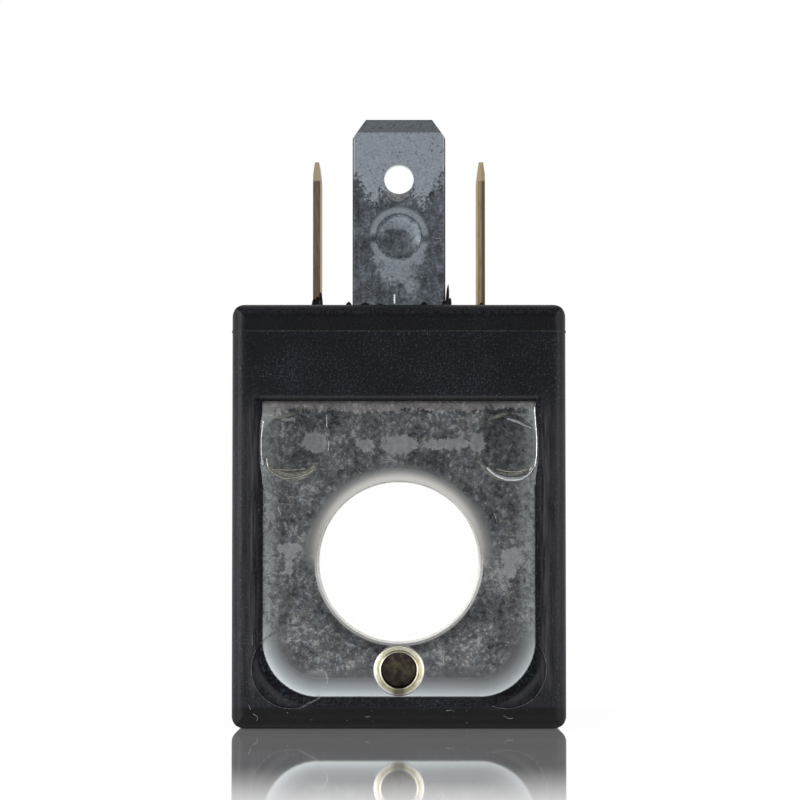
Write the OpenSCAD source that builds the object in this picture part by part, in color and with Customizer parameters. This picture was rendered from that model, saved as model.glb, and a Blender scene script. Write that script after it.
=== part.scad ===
// Overmoulded solenoid valve coil with a U-shaped steel yoke, two line blades, one earth
// blade and a screw insert for the plug.
// X runs across the body, Y along the bore with the valve side at -Y, and Z towards the blades.
// The origin is on the bore axis, halfway along it.

/* [Bore and winding] */
// Diameter of the bore that takes the armature tube
bore_d = 10.6; // [8:0.1:12]
// Wall of the bobbin tube
tube_wall = 0.75; // [0.6:0.05:1]
// Length of the winding between the bobbin flanges
winding_len = 21.5; // [18:0.5:26]
// Spacing of the turns that show on the outside of the winding
turn_pitch = 0.5; // [0.4:0.05:0.8]
// Thickness of the tape round the winding
tape_t = 0.15; // [0.1:0.05:0.3]
// Thickness of each bobbin flange
flange_t = 0.9; // [0.7:0.1:1.5]
// How far the flanges stand out past the tape
flange_lip = 0.45; // [0.3:0.05:0.7]
// How far the flanges stay inside the sides of the yoke strip
flange_inset = 0.1; // [0.05:0.05:0.5]
// Width of each of the two keys on a flange that seat under the yoke web
flange_key_w = 2.8; // [2:0.1:4]
// Space between those keys and the rivet
key_rivet_gap = 0.4; // [0.2:0.1:0.8]

/* [Yoke] */
// Width of the yoke strip
strip_w = 18.1; // [17.6:0.1:21]
// Thickness of the yoke strip
yoke_t = 2; // [1.5:0.1:2.5]
// Inner radius of the two bends
bend_r = 0.5; // [0.3:0.1:0.6]
// Space between the flanges and the web
web_gap = 1.3; // [0.8:0.1:1.8]
// How much wider than the bore the holes in the legs are, on the radius
leg_hole_margin = 0.1; // [0.02:0.01:0.15]
// Corner radius at the free ends of the legs
leg_corner_r = 3.8; // [2:0.1:4]
// Width of the edge that blanking rolls over along the sides and the free end of each leg
leg_roll_w = 1.3; // [0.8:0.1:1.5]
// Depth of that rolled edge
leg_roll_t = 0.16; // [0.1:0.02:0.3]
// Width of the rolled edge round the holes in the legs
hole_roll_w = 0.8; // [0.4:0.1:1]
// Depth of the rolled edge round the holes in the legs
hole_roll_t = 0.14; // [0.08:0.02:0.2]
// Angle, in degrees, at which a rolled edge leaves the flat face
roll_start = 4; // [3:0.5:5]
// How far the sides of a leg bulge next to the dents in it
leg_bulge = 0.2; // [0.05:0.05:0.3]
// Space between the rolled sides of a leg and those bulges
bulge_gap = 0.5; // [0.2:0.1:1]
// Clearance of the web notches round the lead sleeves
lead_notch_gap = 0.15; // [0.1:0.05:0.3]

/* [Locating bush] */
// Diameter of the bush head
bush_head_d = 3.4; // [3:0.05:3.8]
// Diameter of the bush shank in the leg
bush_shank_d = 2.9; // [2.7:0.05:2.95]
// Diameter of the blind hole in the bush
bush_hole_d = 2.35; // [2:0.05:2.5]
// How far the head stands proud of the leg
bush_head_t = 0.3; // [0.2:0.05:0.35]
// Rounding of the outer edge of the head
bush_round = 0.2; // [0.1:0.05:0.2]
// Metal left behind the blind hole
bush_floor_t = 0.4; // [0.3:0.1:0.6]
// Steel left between the leg hole and the bush head
bush_bore_gap = 0.04; // [0.02:0.02:0.4]
// Steel left between the bush head and the end of the leg
bush_end_gap = 0.1; // [0.05:0.01:0.4]

/* [Moulded body] */
// Plastic at each side of the yoke strip
side_wall = 2; // [1.6:0.05:2.5]
// Plastic under the free ends of the legs
under_wall = 2.06; // [1.6:0.02:3]
// Plastic over the yoke web
cover_h = 4.8; // [4.4:0.1:6]
// How far the legs lie below the front and rear faces
leg_recess = 0.35; // [0.35:0.05:0.6]
// Rounding of the outer edges of the body
edge_round = 0.9; // [0.5:0.1:1.2]
// How far the plastic laps down over the bends from the top of the web
window_lap = 1.45; // [1.2:0.05:2]
// Width of the sloping edge round each leg window
window_bevel_w = 0.6; // [0.3:0.1:0.8]
// Depth of the sloping edge round each leg window
window_bevel_t = 0.3; // [0.2:0.05:0.35]
// Diameter of the marks that the support pins of the mould leave in the plastic
support_mark_d = 5.2; // [4.5:0.1:5.6]
// Diameter of the dents that the support pins leave in the steel
support_dent_d = 4.2; // [3.6:0.1:4.4]
// Depth of the dents in the steel
support_dent_t = 0.15; // [0.1:0.05:0.25]
// Tilt of the pins, in degrees, which makes the dents deeper at the top
support_tilt = 3; // [1:0.5:3.5]
// Distance of the support pins from the sides of the strip
support_inset_x = 1.95; // [1.9:0.05:2.4]
// Distance of the dents below the top of the leg window
dent_drop = 3.1; // [2.3:0.05:3.6]
// Distance of the marks in the plastic above the ends of the legs
mark_rise = 1.9; // [1.5:0.05:2.4]
// Distance of the mould parting line below the top face
parting_drop = 1.8; // [1.4:0.1:3]
// Height of the ridge along the parting line
parting_h = 0.12; // [0.08:0.02:0.2]
// How far the ridge along the parting line stands proud
parting_proud = 0.04; // [0.02:0.01:0.08]

/* [Plug interface] */
// Distance between the two line blades
blade_pitch = 11.4; // [10:0.1:11.6]
// Width of all three blades
blade_w = 6.3; // [4.8:0.1:6.3]
// Thickness of the line blades
line_t = 0.5; // [0.5:0.05:0.8]
// Height of the line blades above the top face
line_rise = 10.7; // [8:0.1:12]
// Thickness of the earth blade
earth_t = 0.8; // [0.6:0.05:1]
// Height of the earth blade above the top face
earth_rise = 13; // [10:0.1:14]
// Distance of the plug screw behind the inner face of the valve-side leg
plug_setback = 10.65; // [10.6:0.05:11.6]
// Distance from the plug screw to the middle of the earth blade
earth_reach = 7.1; // [6:0.1:7.2]
// Width taken off each upper corner of a blade
tip_cut_w = 0.9; // [0.4:0.05:1.2]
// Height taken off each upper corner of a blade
tip_cut_h = 1.3; // [0.8:0.1:2]
// Height of the bevel at the upper end of a blade
tip_bevel_h = 0.9; // [0.5:0.1:1.4]
// Thickness of a blade at its upper end
tip_t = 0.3; // [0.2:0.05:0.4]
// Bevel along the sides of the earth blade
earth_edge = 0.12; // [0.05:0.01:0.2]
// Diameter of the detent hole in the earth blade
detent_d = 2; // [1.6:0.1:2.4]
// Height of the detent hole above the top face
detent_rise = 8.9; // [8:0.05:9.5]
// Diameter of the step that the punch leaves under the detent hole
punch_step_d = 1.8; // [1.4:0.1:2]
// Distance of that step below the middle of the detent hole
punch_step_drop = 0.6; // [0.3:0.05:0.8]
// Depth of that step
punch_step_t = 0.1; // [0.05:0.05:0.2]
// Diameter of the coined ring in the earth blade
coin_ring_d = 4.05; // [3.6:0.05:4.6]
// Diameter of the dish inside the coined ring
coin_dish_d = 2.95; // [2.4:0.05:3.4]
// Height of the coined dish above the top face
coin_rise = 5; // [4:0.05:5.5]
// Depth of the coined ring
coin_ring_t = 0.06; // [0.04:0.02:0.1]
// Depth of the coined dish
coin_dish_t = 0.24; // [0.12:0.02:0.3]
// Tapping diameter of the plug screw thread
screw_hole_d = 2.5; // [2:0.05:3.3]
// Outside diameter of the screw insert
insert_d = 4.2; // [3.8:0.1:5]
// Plastic left under the screw insert
insert_floor = 0.4; // [0.3:0.1:0.7]
// Width of the groove that anchors the insert
insert_groove_w = 0.8; // [0.4:0.1:1.2]
// Depth of the groove that anchors the insert
insert_groove_t = 0.3; // [0.2:0.05:0.4]

/* [Terminal carrier and joints] */
// Thickness of the carrier plate on the yoke web
carrier_t = 0.8; // [0.6:0.1:1]
// Margin of the carrier plate past the blades, along the bore
carrier_margin = 1; // [0.6:0.1:1.2]
// Thickness of the carrier ribs behind the line blades
carrier_rib_t = 0.9; // [0.6:0.1:1.1]
// Height of the carrier ribs above the carrier plate
carrier_rib_h = 1.9; // [1.2:0.1:2.4]
// Wall of the carrier boss round the insert
carrier_boss_wall = 0.8; // [0.6:0.1:1]
// Space between the solder foot of a line blade and the sleeve of its lead
foot_lead_gap = 0.5; // [0.3:0.05:0.8]
// Width of the solder foot of a line blade
foot_w = 2.6; // [2:0.1:4]
// Length of the foot of the earth blade in front of the blade
earth_foot_len = 2.6; // [2.5:0.1:3.2]
// Diameter of the rivet shank in the earth foot
rivet_d = 1.5; // [1.2:0.1:1.8]
// Diameter of the rivet heads
rivet_head_d = 2.4; // [2:0.1:2.5]
// Thickness of the rivet heads
rivet_head_t = 0.5; // [0.3:0.1:0.6]
// Diameter of the lead wires
lead_d = 0.4; // [0.3:0.05:0.5]
// Bend radius of the lead wires
lead_bend_r = 0.3; // [0.26:0.02:0.4]
// Height of a lead above the solder foot that it is soldered to
lead_lift = 0.05; // [0.03:0.01:0.1]
// Wall of the lead sleeves
sleeve_wall = 0.2; // [0.15:0.05:0.3]
// Clearance between a lead and its sleeve, on the radius
sleeve_gap = 0.05; // [0.03:0.01:0.1]
// Clearance between a sleeve and the tape
sleeve_tape_gap = 0.1; // [0.05:0.05:0.2]
// Height of the solder beads
solder_h = 0.6; // [0.55:0.05:0.8]
// Share of the free length of a solder foot that its bead covers
solder_share = 0.6; // [0.5:0.05:0.8]
// Rounding of a solder bead as a share of its radius
solder_round_share = 0.38; // [0.2:0.02:0.44]

/* [Hidden] */
$fn = 64;

// Small overrun of cutting shapes past the faces they cut
overrun = 0.5;

// Bobbin and winding: the flanges follow the strip, and the winding fills the room in them
bore_r = bore_d / 2;
tube_r = bore_r + tube_wall;
flange_r = strip_w / 2 - flange_inset;
tape_r = flange_r - flange_lip;
winding_r = tape_r - tape_t;
bobbin_len = winding_len + 2 * flange_t;

// Yoke
leg_hole_r = bore_r + leg_hole_margin;
leg_inner_y = bobbin_len / 2;
leg_outer_y = leg_inner_y + yoke_t;
web_inner_z = flange_r + web_gap;
web_outer_z = web_inner_z + yoke_t;
bush_z = -(leg_hole_r + bush_bore_gap + bush_head_d / 2);
leg_end_z = bush_z - bush_head_d / 2 - bush_end_gap;

// Moulded body
body_w = strip_w + 2 * side_wall;
body_d = 2 * (leg_outer_y + leg_recess);
top_z = web_outer_z + cover_h;
bottom_z = leg_end_z - under_wall;
body_h = top_z - bottom_z;
window_top_z = web_outer_z - window_lap;
support_x = strip_w / 2 - support_inset_x;
dent_z = window_top_z - dent_drop;
mark_z = leg_end_z + mark_rise;

// Plug interface and joints
plug_y = plug_setback - leg_inner_y;
earth_y = plug_y - earth_reach;
carrier_top_z = web_outer_z + carrier_t;
insert_base_z = web_outer_z + insert_floor;
foot_top_z = carrier_top_z + line_t;
earth_front_y = earth_y - earth_t / 2;
rivet_y = earth_front_y - earth_foot_len / 2;
lead_r = lead_d / 2;
sleeve_inner_r = lead_r + sleeve_gap;
sleeve_r = sleeve_inner_r + sleeve_wall;
lead_x = tape_r + sleeve_tape_gap + sleeve_r;
foot_end_x = lead_x - sleeve_r - foot_lead_gap;
foot_free_x = (blade_pitch + line_t) / 2;
solder_x = (foot_free_x + foot_end_x) / 2;
solder_r = solder_share * (foot_end_x - foot_free_x) / 2;
solder_round = solder_round_share * solder_r;
lead_top_z = foot_top_z + lead_lift + lead_r;
sleeve_low_z = 2 * sleeve_r;
sleeve_high_z = carrier_top_z;

// Lays a flat shape out so that its X stays X and its Y becomes Z, with a thickness along Y
module upright(thickness) {
  rotate([90, 0, 0])
    linear_extrude(thickness, center = true)
      children();
}

// Lays a flat shape out so that its X becomes Y and its Y becomes Z, with a width along X
module sideways(width) {
  rotate([90, 0, 90])
    linear_extrude(width, center = true)
      children();
}

// Turns a revolved shape so that its axis lies along Y
module along_bore() {
  rotate([-90, 0, 0])
    children();
}

// A cylinder along the bore, from one Y to another
module bore_cylinder(r, from_y, to_y) {
  translate([0, from_y, 0])
    along_bore()
      cylinder(r = r, h = to_y - from_y);
}

// Children at the valve side and, turned over, at the far side
module both_ends() {
  for (side = [0, 1])
    mirror([0, side, 0])
      children();
}

// Children at the right and, turned over, at the left
module both_sides() {
  for (side = [0, 1])
    mirror([side, 0, 0])
      children();
}

// Rectangle with four round corners
module rounded_rect(w, h, r) {
  square([w - 2 * r, h], center = true);
  square([w, h - 2 * r], center = true);
  for (sx = [-1, 1], sy = [-1, 1])
    translate([sx * (w / 2 - r), sy * (h / 2 - r)])
      circle(r);
}

// Rectangle with four bevelled corners
module bevelled_rect(w, h, cut) {
  x = w / 2;
  y = h / 2;
  polygon([[cut - x, -y], [x - cut, -y], [x, cut - y], [x, y - cut],
           [x - cut, y], [cut - x, y], [-x, y - cut], [-x, cut - y]]);
}

// Block with every edge rounded, standing on the underside of the body
module rounded_block() {
  translate([0, 0, (top_z + bottom_z) / 2])
    intersection() {
      linear_extrude(body_h, center = true)
        rounded_rect(body_w, body_d, edge_round);
      upright(body_d)
        rounded_rect(body_w, body_h, edge_round);
      sideways(body_w)
        rounded_rect(body_d, body_h, edge_round);
    }
}

// Ridge that the mould leaves along its parting line
module parting_ridge() {
  translate([0, 0, top_z - parting_drop])
    linear_extrude(parting_h, center = true)
      rounded_rect(body_w + 2 * parting_proud, body_d + 2 * parting_proud,
                   edge_round + parting_proud);
}

// Side of a leg that bulges next to a dent
module leg_side_bulge() {
  half_h = support_dent_d / 2;
  bulge_r = (half_h * half_h + leg_bulge * leg_bulge) / (2 * leg_bulge);
  intersection() {
    translate([strip_w / 2 + leg_bulge - bulge_r, dent_z])
      circle(bulge_r);
    translate([strip_w / 2 - half_h, dent_z - half_h])
      square([2 * half_h, 2 * half_h]);
  }
}

// Outline of a leg, from its round lower corners up to a given height
module leg_outline(high_z) {
  corner_x = strip_w / 2 - leg_corner_r;
  corner_z = leg_end_z + leg_corner_r;
  translate([-strip_w / 2, corner_z])
    square([strip_w, high_z - corner_z]);
  translate([-corner_x, leg_end_z])
    square([2 * corner_x, leg_corner_r]);
  for (side = [-1, 1])
    translate([side * corner_x, corner_z])
      circle(leg_corner_r);
  both_sides()
    leg_side_bulge();
}

// Sweeps an edge profile along the sides of a leg from a given height, round its two lower corners and along its end.
// The profile is drawn with X pointing out of the leg from its edge and Y along the bore.
module along_leg_edges(high_z) {
  corner_x = strip_w / 2 - leg_corner_r;
  corner_z = leg_end_z + leg_corner_r;
  translate([0, 0, leg_end_z])
    rotate([0, 90, 0])
      linear_extrude(2 * corner_x, center = true)
        children();
  both_sides()
    translate([corner_x, 0, corner_z])
      along_bore()
        rotate_extrude(angle = 90)
          translate([leg_corner_r, 0])
            children();
  both_sides()
    translate([strip_w / 2, 0, corner_z])
      linear_extrude(high_z - corner_z)
        children();
}

// Profile of what blanking rolls away at an edge, from where the flat face ends.
// It starts a little before that, outside the face, and ends past the edge, so that the arc
// crosses both cleanly.
module roll_profile(w, t) {
  end_angle = 2 * atan(t / w) - roll_start;
  roll_r = w / (sin(end_angle) - sin(roll_start));
  middle_x = -roll_r * sin(roll_start);
  lead_in = min(-middle_x, overrun / 2);
  difference() {
    translate([-lead_in, -overrun])
      square([lead_in + w + overrun, t + 2 * overrun]);
    translate([middle_x, roll_r * cos(roll_start)])
      circle(roll_r);
  }
}

// Material that blanking rolls away round a leg, up to a little below the bulges in its sides
module leg_edge_cut() {
  along_leg_edges(dent_z - support_dent_d / 2 - bulge_gap)
    translate([-leg_roll_w, -leg_outer_y])
      roll_profile(leg_roll_w, leg_roll_t);
}

// Folded strip seen from the side, open at the bottom
module yoke_bend_outline(half_d, high_z, r) {
  translate([-half_d, leg_end_z])
    square([2 * half_d, high_z - r - leg_end_z]);
  translate([r - half_d, leg_end_z])
    square([2 * (half_d - r), high_z - leg_end_z]);
  for (side = [-1, 1])
    translate([side * (half_d - r), high_z - r])
      circle(r);
}

// Folded strip with the notches for the lead sleeves, before its other cuts
module yoke_blank() {
  difference() {
    intersection() {
      sideways(strip_w + 2 * leg_bulge)
        difference() {
          yoke_bend_outline(leg_outer_y, web_outer_z, yoke_t + bend_r);
          translate([0, -overrun])
            yoke_bend_outline(leg_inner_y, web_inner_z + overrun, bend_r);
        }
      upright(2 * leg_outer_y)
        leg_outline(web_outer_z);
    }
    both_sides()
      translate([lead_x, plug_y, web_inner_z - overrun])
        cylinder(r = sleeve_r + lead_notch_gap, h = yoke_t + 2 * overrun);
  }
}

// Hole through one leg for the armature tube, with its rolled outer edge
module leg_hole() {
  bore_cylinder(leg_hole_r, -leg_outer_y - overrun, -leg_inner_y + overrun);
  translate([0, -leg_outer_y, 0])
    along_bore()
      rotate_extrude()
        translate([leg_hole_r + hole_roll_w, 0])
          mirror([1, 0])
            roll_profile(hole_roll_w, hole_roll_t);
}

// Hole through the valve-side leg for the shank of the bush
module bush_hole() {
  translate([0, 0, bush_z])
    bore_cylinder(bush_shank_d / 2, -leg_outer_y - overrun, -leg_inner_y);
}

// Dent of a tilted support pin in the outer face of a leg
module support_dent() {
  translate([support_x, -leg_outer_y, dent_z])
    rotate([-support_tilt, 0, 0])
      bore_cylinder(support_dent_d / 2, -overrun, support_dent_t);
}

module yoke() {
  color("#8d9196")
    difference() {
      yoke_blank();
      both_ends() {
        leg_edge_cut();
        leg_hole();
        both_sides()
          support_dent();
      }
      bush_hole();
      translate([0, rivet_y, web_inner_z - overrun])
        cylinder(d = rivet_d, h = yoke_t + 2 * overrun);
    }
}

// Turned bush with a round-edged head and a blind hole
module locating_bush() {
  head_r = bush_head_d / 2;
  shank_len = yoke_t;
  color("#b9ad77")
    translate([0, -leg_outer_y, bush_z])
      along_bore()
        difference() {
          rotate_extrude() {
            square([bush_shank_d / 2, shank_len]);
            translate([0, -bush_head_t])
              square([head_r - bush_round, bush_head_t]);
            translate([0, bush_round - bush_head_t])
              square([head_r, bush_head_t - bush_round]);
            translate([head_r - bush_round, bush_round - bush_head_t])
              circle(bush_round);
          }
          translate([0, 0, -bush_head_t - overrun])
            cylinder(d = bush_hole_d, h = overrun + bush_head_t + shank_len - bush_floor_t);
        }
}

// Flange disc with the two keys that seat under the web, one at each side of the rivet.
// The top of a key is stepped back to stay clear of the bend in the yoke.
module bobbin_flange() {
  bore_cylinder(flange_r, -bobbin_len / 2, -winding_len / 2);
  both_sides()
    translate([rivet_head_d / 2 + key_rivet_gap, -bobbin_len / 2, 0]) {
      cube([flange_key_w, flange_t, web_inner_z - bend_r]);
      translate([0, bend_r, 0])
        cube([flange_key_w, flange_t - bend_r, web_inner_z]);
    }
}

module bobbin() {
  color("#a39d90")
    difference() {
      union() {
        bore_cylinder(tube_r, -bobbin_len / 2, bobbin_len / 2);
        both_ends()
          bobbin_flange();
      }
      bore_cylinder(bore_r, -bobbin_len / 2 - overrun, bobbin_len / 2 + overrun);
    }
}

// Copper winding with its outer layer of turns
module winding() {
  turns = floor(winding_len / turn_pitch);
  turn_r = turn_pitch / 2;
  first_turn = -(turns - 1) * turn_pitch / 2;
  color("#b5662e")
    along_bore()
      rotate_extrude() {
        translate([tube_r, -winding_len / 2])
          square([winding_r - turn_r - tube_r, winding_len]);
        for (turn = [0 : turns - 1])
          translate([winding_r - turn_r, first_turn + turn * turn_pitch])
            circle(turn_r);
      }
}

module winding_tape() {
  color("#d9b23a")
    difference() {
      bore_cylinder(tape_r, -winding_len / 2, winding_len / 2);
      bore_cylinder(winding_r, -winding_len / 2 - overrun, winding_len / 2 + overrun);
      translate([0, plug_y, 0])
        rotate([0, 90, 0])
          cylinder(r = lead_r, h = 2 * (tape_r + overrun), center = true);
    }
}

// Space that the wound bobbin takes up in the moulding
module core_space() {
  bore_cylinder(tape_r, -winding_len / 2, winding_len / 2);
  both_ends()
    bobbin_flange();
}

// Insulating plate on the web that holds the line blades and the screw insert
module terminal_carrier() {
  plate_w = 2 * foot_end_x;
  plate_d = blade_w + 2 * carrier_margin;
  rib_x = blade_pitch / 2 - line_t / 2 - carrier_rib_t;
  boss_r = insert_d / 2 + carrier_boss_wall;
  color("#3a3c40")
    translate([0, plug_y, web_outer_z])
      difference() {
        union() {
          translate([0, 0, carrier_t / 2])
            cube([plate_w, plate_d, carrier_t], center = true);
          both_sides()
            translate([rib_x, -blade_w / 2, carrier_t])
              cube([carrier_rib_t, blade_w, carrier_rib_h]);
          cylinder(r = boss_r, h = carrier_t + carrier_rib_h);
        }
        translate([0, 0, insert_floor])
          cylinder(d = insert_d, h = cover_h);
      }
}

// Face of a blade with its upper corners cut off
module blade_face(low_z, high_z) {
  half_w = blade_w / 2;
  polygon([[-half_w, low_z], [half_w, low_z], [half_w, high_z - tip_cut_h],
           [half_w - tip_cut_w, high_z], [tip_cut_w - half_w, high_z],
           [-half_w, high_z - tip_cut_h]]);
}

// Edge of a blade with its bevelled upper end
module blade_edge(low_z, high_z, thickness) {
  polygon([[-thickness / 2, low_z], [thickness / 2, low_z],
           [thickness / 2, high_z - tip_bevel_h], [tip_t / 2, high_z],
           [-tip_t / 2, high_z], [-thickness / 2, high_z - tip_bevel_h]]);
}

// Line blade that stands across X, with a solder foot that points away from the bore axis
module line_terminal() {
  high_z = top_z + line_rise;
  color("#a5814f")
    translate([0, plug_y, 0]) {
      translate([blade_pitch / 2, 0, 0])
        intersection() {
          sideways(line_t)
            blade_face(carrier_top_z, high_z);
          upright(blade_w)
            blade_edge(carrier_top_z, high_z, line_t);
        }
      translate([blade_pitch / 2, -foot_w / 2, carrier_top_z])
        cube([foot_end_x - blade_pitch / 2, foot_w, line_t]);
    }
}

module line_terminal_right() {
  line_terminal();
}

module line_terminal_left() {
  mirror([1, 0, 0])
    line_terminal();
}

// Ring and dish coined into the front of the earth blade
module earth_coin() {
  dish_r = coin_dish_d / 2;
  sphere_r = (dish_r * dish_r + coin_dish_t * coin_dish_t) / (2 * coin_dish_t);
  translate([0, earth_front_y, top_z + coin_rise]) {
    bore_cylinder(coin_ring_d / 2, -overrun, coin_ring_t);
    translate([0, coin_ring_t + coin_dish_t - sphere_r, 0])
      sphere(sphere_r);
  }
}

// Earth blade with a foot that turns forward along the web
module earth_terminal() {
  high_z = top_z + earth_rise;
  color("#8b9197")
    difference() {
      union() {
        translate([0, earth_y, 0])
          intersection() {
            upright(earth_t)
              blade_face(web_outer_z, high_z);
            sideways(blade_w)
              blade_edge(web_outer_z, high_z, earth_t);
            translate([0, 0, web_outer_z])
              linear_extrude(high_z - web_outer_z)
                bevelled_rect(blade_w, earth_t, earth_edge);
          }
        translate([-blade_w / 2, earth_front_y - earth_foot_len, web_outer_z])
          cube([blade_w, earth_foot_len + earth_t, earth_t]);
      }
      translate([0, earth_y, top_z + detent_rise])
        bore_cylinder(detent_d / 2, -earth_t, earth_t);
      translate([0, earth_front_y, top_z + detent_rise - punch_step_drop])
        bore_cylinder(punch_step_d / 2, -overrun, punch_step_t);
      earth_coin();
      translate([0, rivet_y, web_outer_z - overrun])
        cylinder(d = rivet_d, h = earth_t + 2 * overrun);
    }
}

module earth_rivet() {
  color("#9a9c9e")
    translate([0, rivet_y, 0]) {
      translate([0, 0, web_inner_z - rivet_head_t])
        cylinder(d = rivet_head_d, h = rivet_head_t);
      translate([0, 0, web_inner_z - rivet_head_t])
        cylinder(d = rivet_d, h = yoke_t + earth_t + 2 * rivet_head_t);
      translate([0, 0, web_outer_z + earth_t])
        cylinder(d = rivet_head_d, h = rivet_head_t);
    }
}

// Outer shape of the screw insert, with the groove that anchors it
module insert_space() {
  insert_r = insert_d / 2;
  insert_len = top_z - insert_base_z;
  boss_top = carrier_t + carrier_rib_h - insert_floor;
  groove_low = (boss_top + insert_len - insert_groove_w) / 2;
  groove_high = groove_low + insert_groove_w;
  translate([0, plug_y, insert_base_z])
    rotate_extrude() {
      square([insert_r - insert_groove_t, insert_len]);
      square([insert_r, groove_low]);
      translate([0, groove_high])
        square([insert_r, insert_len - groove_high]);
    }
}

// Threaded insert for the screw of the plug
module connector_insert() {
  color("#b8974f")
    difference() {
      insert_space();
      translate([0, plug_y, insert_base_z - overrun])
        cylinder(d = screw_hole_d, h = cover_h + 2 * overrun);
    }
}

// Quarter turn of a lead about the Y axis, between X and Z
module lead_bend() {
  rotate([90, 0, 0])
    rotate_extrude(angle = 90)
      translate([lead_bend_r, 0])
        circle(lead_r);
}

// Wire from the winding, up past the web and in to the solder foot of a blade
module lead() {
  bend_x = lead_x - lead_bend_r;
  translate([0, plug_y, 0]) {
    translate([winding_r, 0, 0])
      rotate([0, 90, 0])
        cylinder(r = lead_r, h = bend_x - winding_r);
    translate([bend_x, 0, lead_bend_r])
      mirror([0, 0, 1])
        lead_bend();
    translate([lead_x, 0, lead_bend_r])
      cylinder(r = lead_r, h = lead_top_z - 2 * lead_bend_r);
    translate([bend_x, 0, lead_top_z - lead_bend_r])
      lead_bend();
    translate([solder_x, 0, lead_top_z])
      rotate([0, 90, 0])
        cylinder(r = lead_r, h = bend_x - solder_x);
  }
}

module finish_lead() {
  color("#c07a3e")
    lead();
}

module start_lead() {
  color("#c07a3e")
    mirror([1, 0, 0])
      lead();
}

// Space that a sleeve and its lead take up
module sleeve_space() {
  translate([lead_x, plug_y, sleeve_low_z])
    cylinder(r = sleeve_r, h = sleeve_high_z - sleeve_low_z);
}

module sleeve() {
  difference() {
    sleeve_space();
    translate([lead_x, plug_y, sleeve_low_z - overrun])
      cylinder(r = sleeve_inner_r, h = sleeve_high_z - sleeve_low_z + 2 * overrun);
  }
}

module finish_lead_sleeve() {
  color("#b8b09a")
    sleeve();
}

module start_lead_sleeve() {
  color("#b8b09a")
    mirror([1, 0, 0])
      sleeve();
}

// Space that a round bead of solder and the end of its lead take up
module solder_space() {
  translate([solder_x, plug_y, foot_top_z])
    rotate_extrude() {
      square([solder_r - solder_round, solder_h]);
      square([solder_r, solder_h - solder_round]);
      translate([solder_r - solder_round, solder_h - solder_round])
        circle(solder_round);
    }
}

module solder_bead() {
  difference() {
    solder_space();
    lead();
  }
}

module finish_solder_joint() {
  color("#c9ccd0")
    solder_bead();
}

module start_solder_joint() {
  color("#c9ccd0")
    mirror([1, 0, 0])
      solder_bead();
}

// Opening in the moulding that shows one leg, with sloping edges and the support pin marks
module leg_window() {
  face_y = -body_d / 2;
  slope_y = face_y - overrun;
  slope_w = window_bevel_w * (1 + overrun / window_bevel_t);
  translate([0, face_y + (leg_recess + leg_roll_t - overrun) / 2, 0])
    upright(leg_recess + leg_roll_t + overrun)
      leg_outline(window_top_z);
  along_leg_edges(window_top_z)
    polygon([[0, slope_y], [slope_w, slope_y], [0, face_y + window_bevel_t]]);
  both_sides()
    translate([support_x, 0, mark_z])
      bore_cylinder(support_mark_d / 2, slope_y, face_y + leg_recess);
}

module housing() {
  color("#242527")
    difference() {
      union() {
        rounded_block();
        parting_ridge();
      }
      both_ends()
        leg_window();
      bore_cylinder(leg_hole_r, -body_d, body_d);
      yoke_blank();
      core_space();
      terminal_carrier();
      earth_terminal();
      earth_rivet();
      insert_space();
      both_sides() {
        line_terminal();
        lead();
        sleeve_space();
        solder_space();
      }
    }
}

housing();
yoke();
locating_bush();
bobbin();
winding();
winding_tape();
terminal_carrier();
line_terminal_left();
line_terminal_right();
earth_terminal();
earth_rivet();
connector_insert();
start_lead();
finish_lead();
start_lead_sleeve();
finish_lead_sleeve();
start_solder_joint();
finish_solder_joint();
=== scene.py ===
import math
import random
import bmesh
import bpy
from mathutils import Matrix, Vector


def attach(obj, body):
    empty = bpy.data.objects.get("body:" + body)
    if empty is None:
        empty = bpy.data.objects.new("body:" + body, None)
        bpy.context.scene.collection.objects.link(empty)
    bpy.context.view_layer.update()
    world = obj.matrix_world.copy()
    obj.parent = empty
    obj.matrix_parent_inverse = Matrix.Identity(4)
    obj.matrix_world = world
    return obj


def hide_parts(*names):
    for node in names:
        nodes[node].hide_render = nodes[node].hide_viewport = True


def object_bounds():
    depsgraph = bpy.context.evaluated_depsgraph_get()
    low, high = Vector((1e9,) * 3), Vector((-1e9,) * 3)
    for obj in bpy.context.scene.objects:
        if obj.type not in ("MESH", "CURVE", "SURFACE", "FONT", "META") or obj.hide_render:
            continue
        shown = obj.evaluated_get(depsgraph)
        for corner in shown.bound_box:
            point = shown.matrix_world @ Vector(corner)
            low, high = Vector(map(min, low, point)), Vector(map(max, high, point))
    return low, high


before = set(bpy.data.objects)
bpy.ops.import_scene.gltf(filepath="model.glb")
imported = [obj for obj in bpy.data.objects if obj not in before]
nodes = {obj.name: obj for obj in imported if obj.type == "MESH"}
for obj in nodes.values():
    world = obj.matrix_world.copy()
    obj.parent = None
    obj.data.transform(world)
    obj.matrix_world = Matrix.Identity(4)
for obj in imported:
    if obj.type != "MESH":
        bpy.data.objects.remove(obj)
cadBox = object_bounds()
mm = 0.001
print("frame loaded with", len(nodes), "nodes")


def toLinear(hexColour):
    channels = [int(hexColour[i:i + 2], 16) / 255 for i in (1, 3, 5)]
    return tuple(c / 12.92 if c <= 0.04045 else ((c + 0.055) / 1.055) ** 2.4 for c in channels) + (1.0,)


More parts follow.
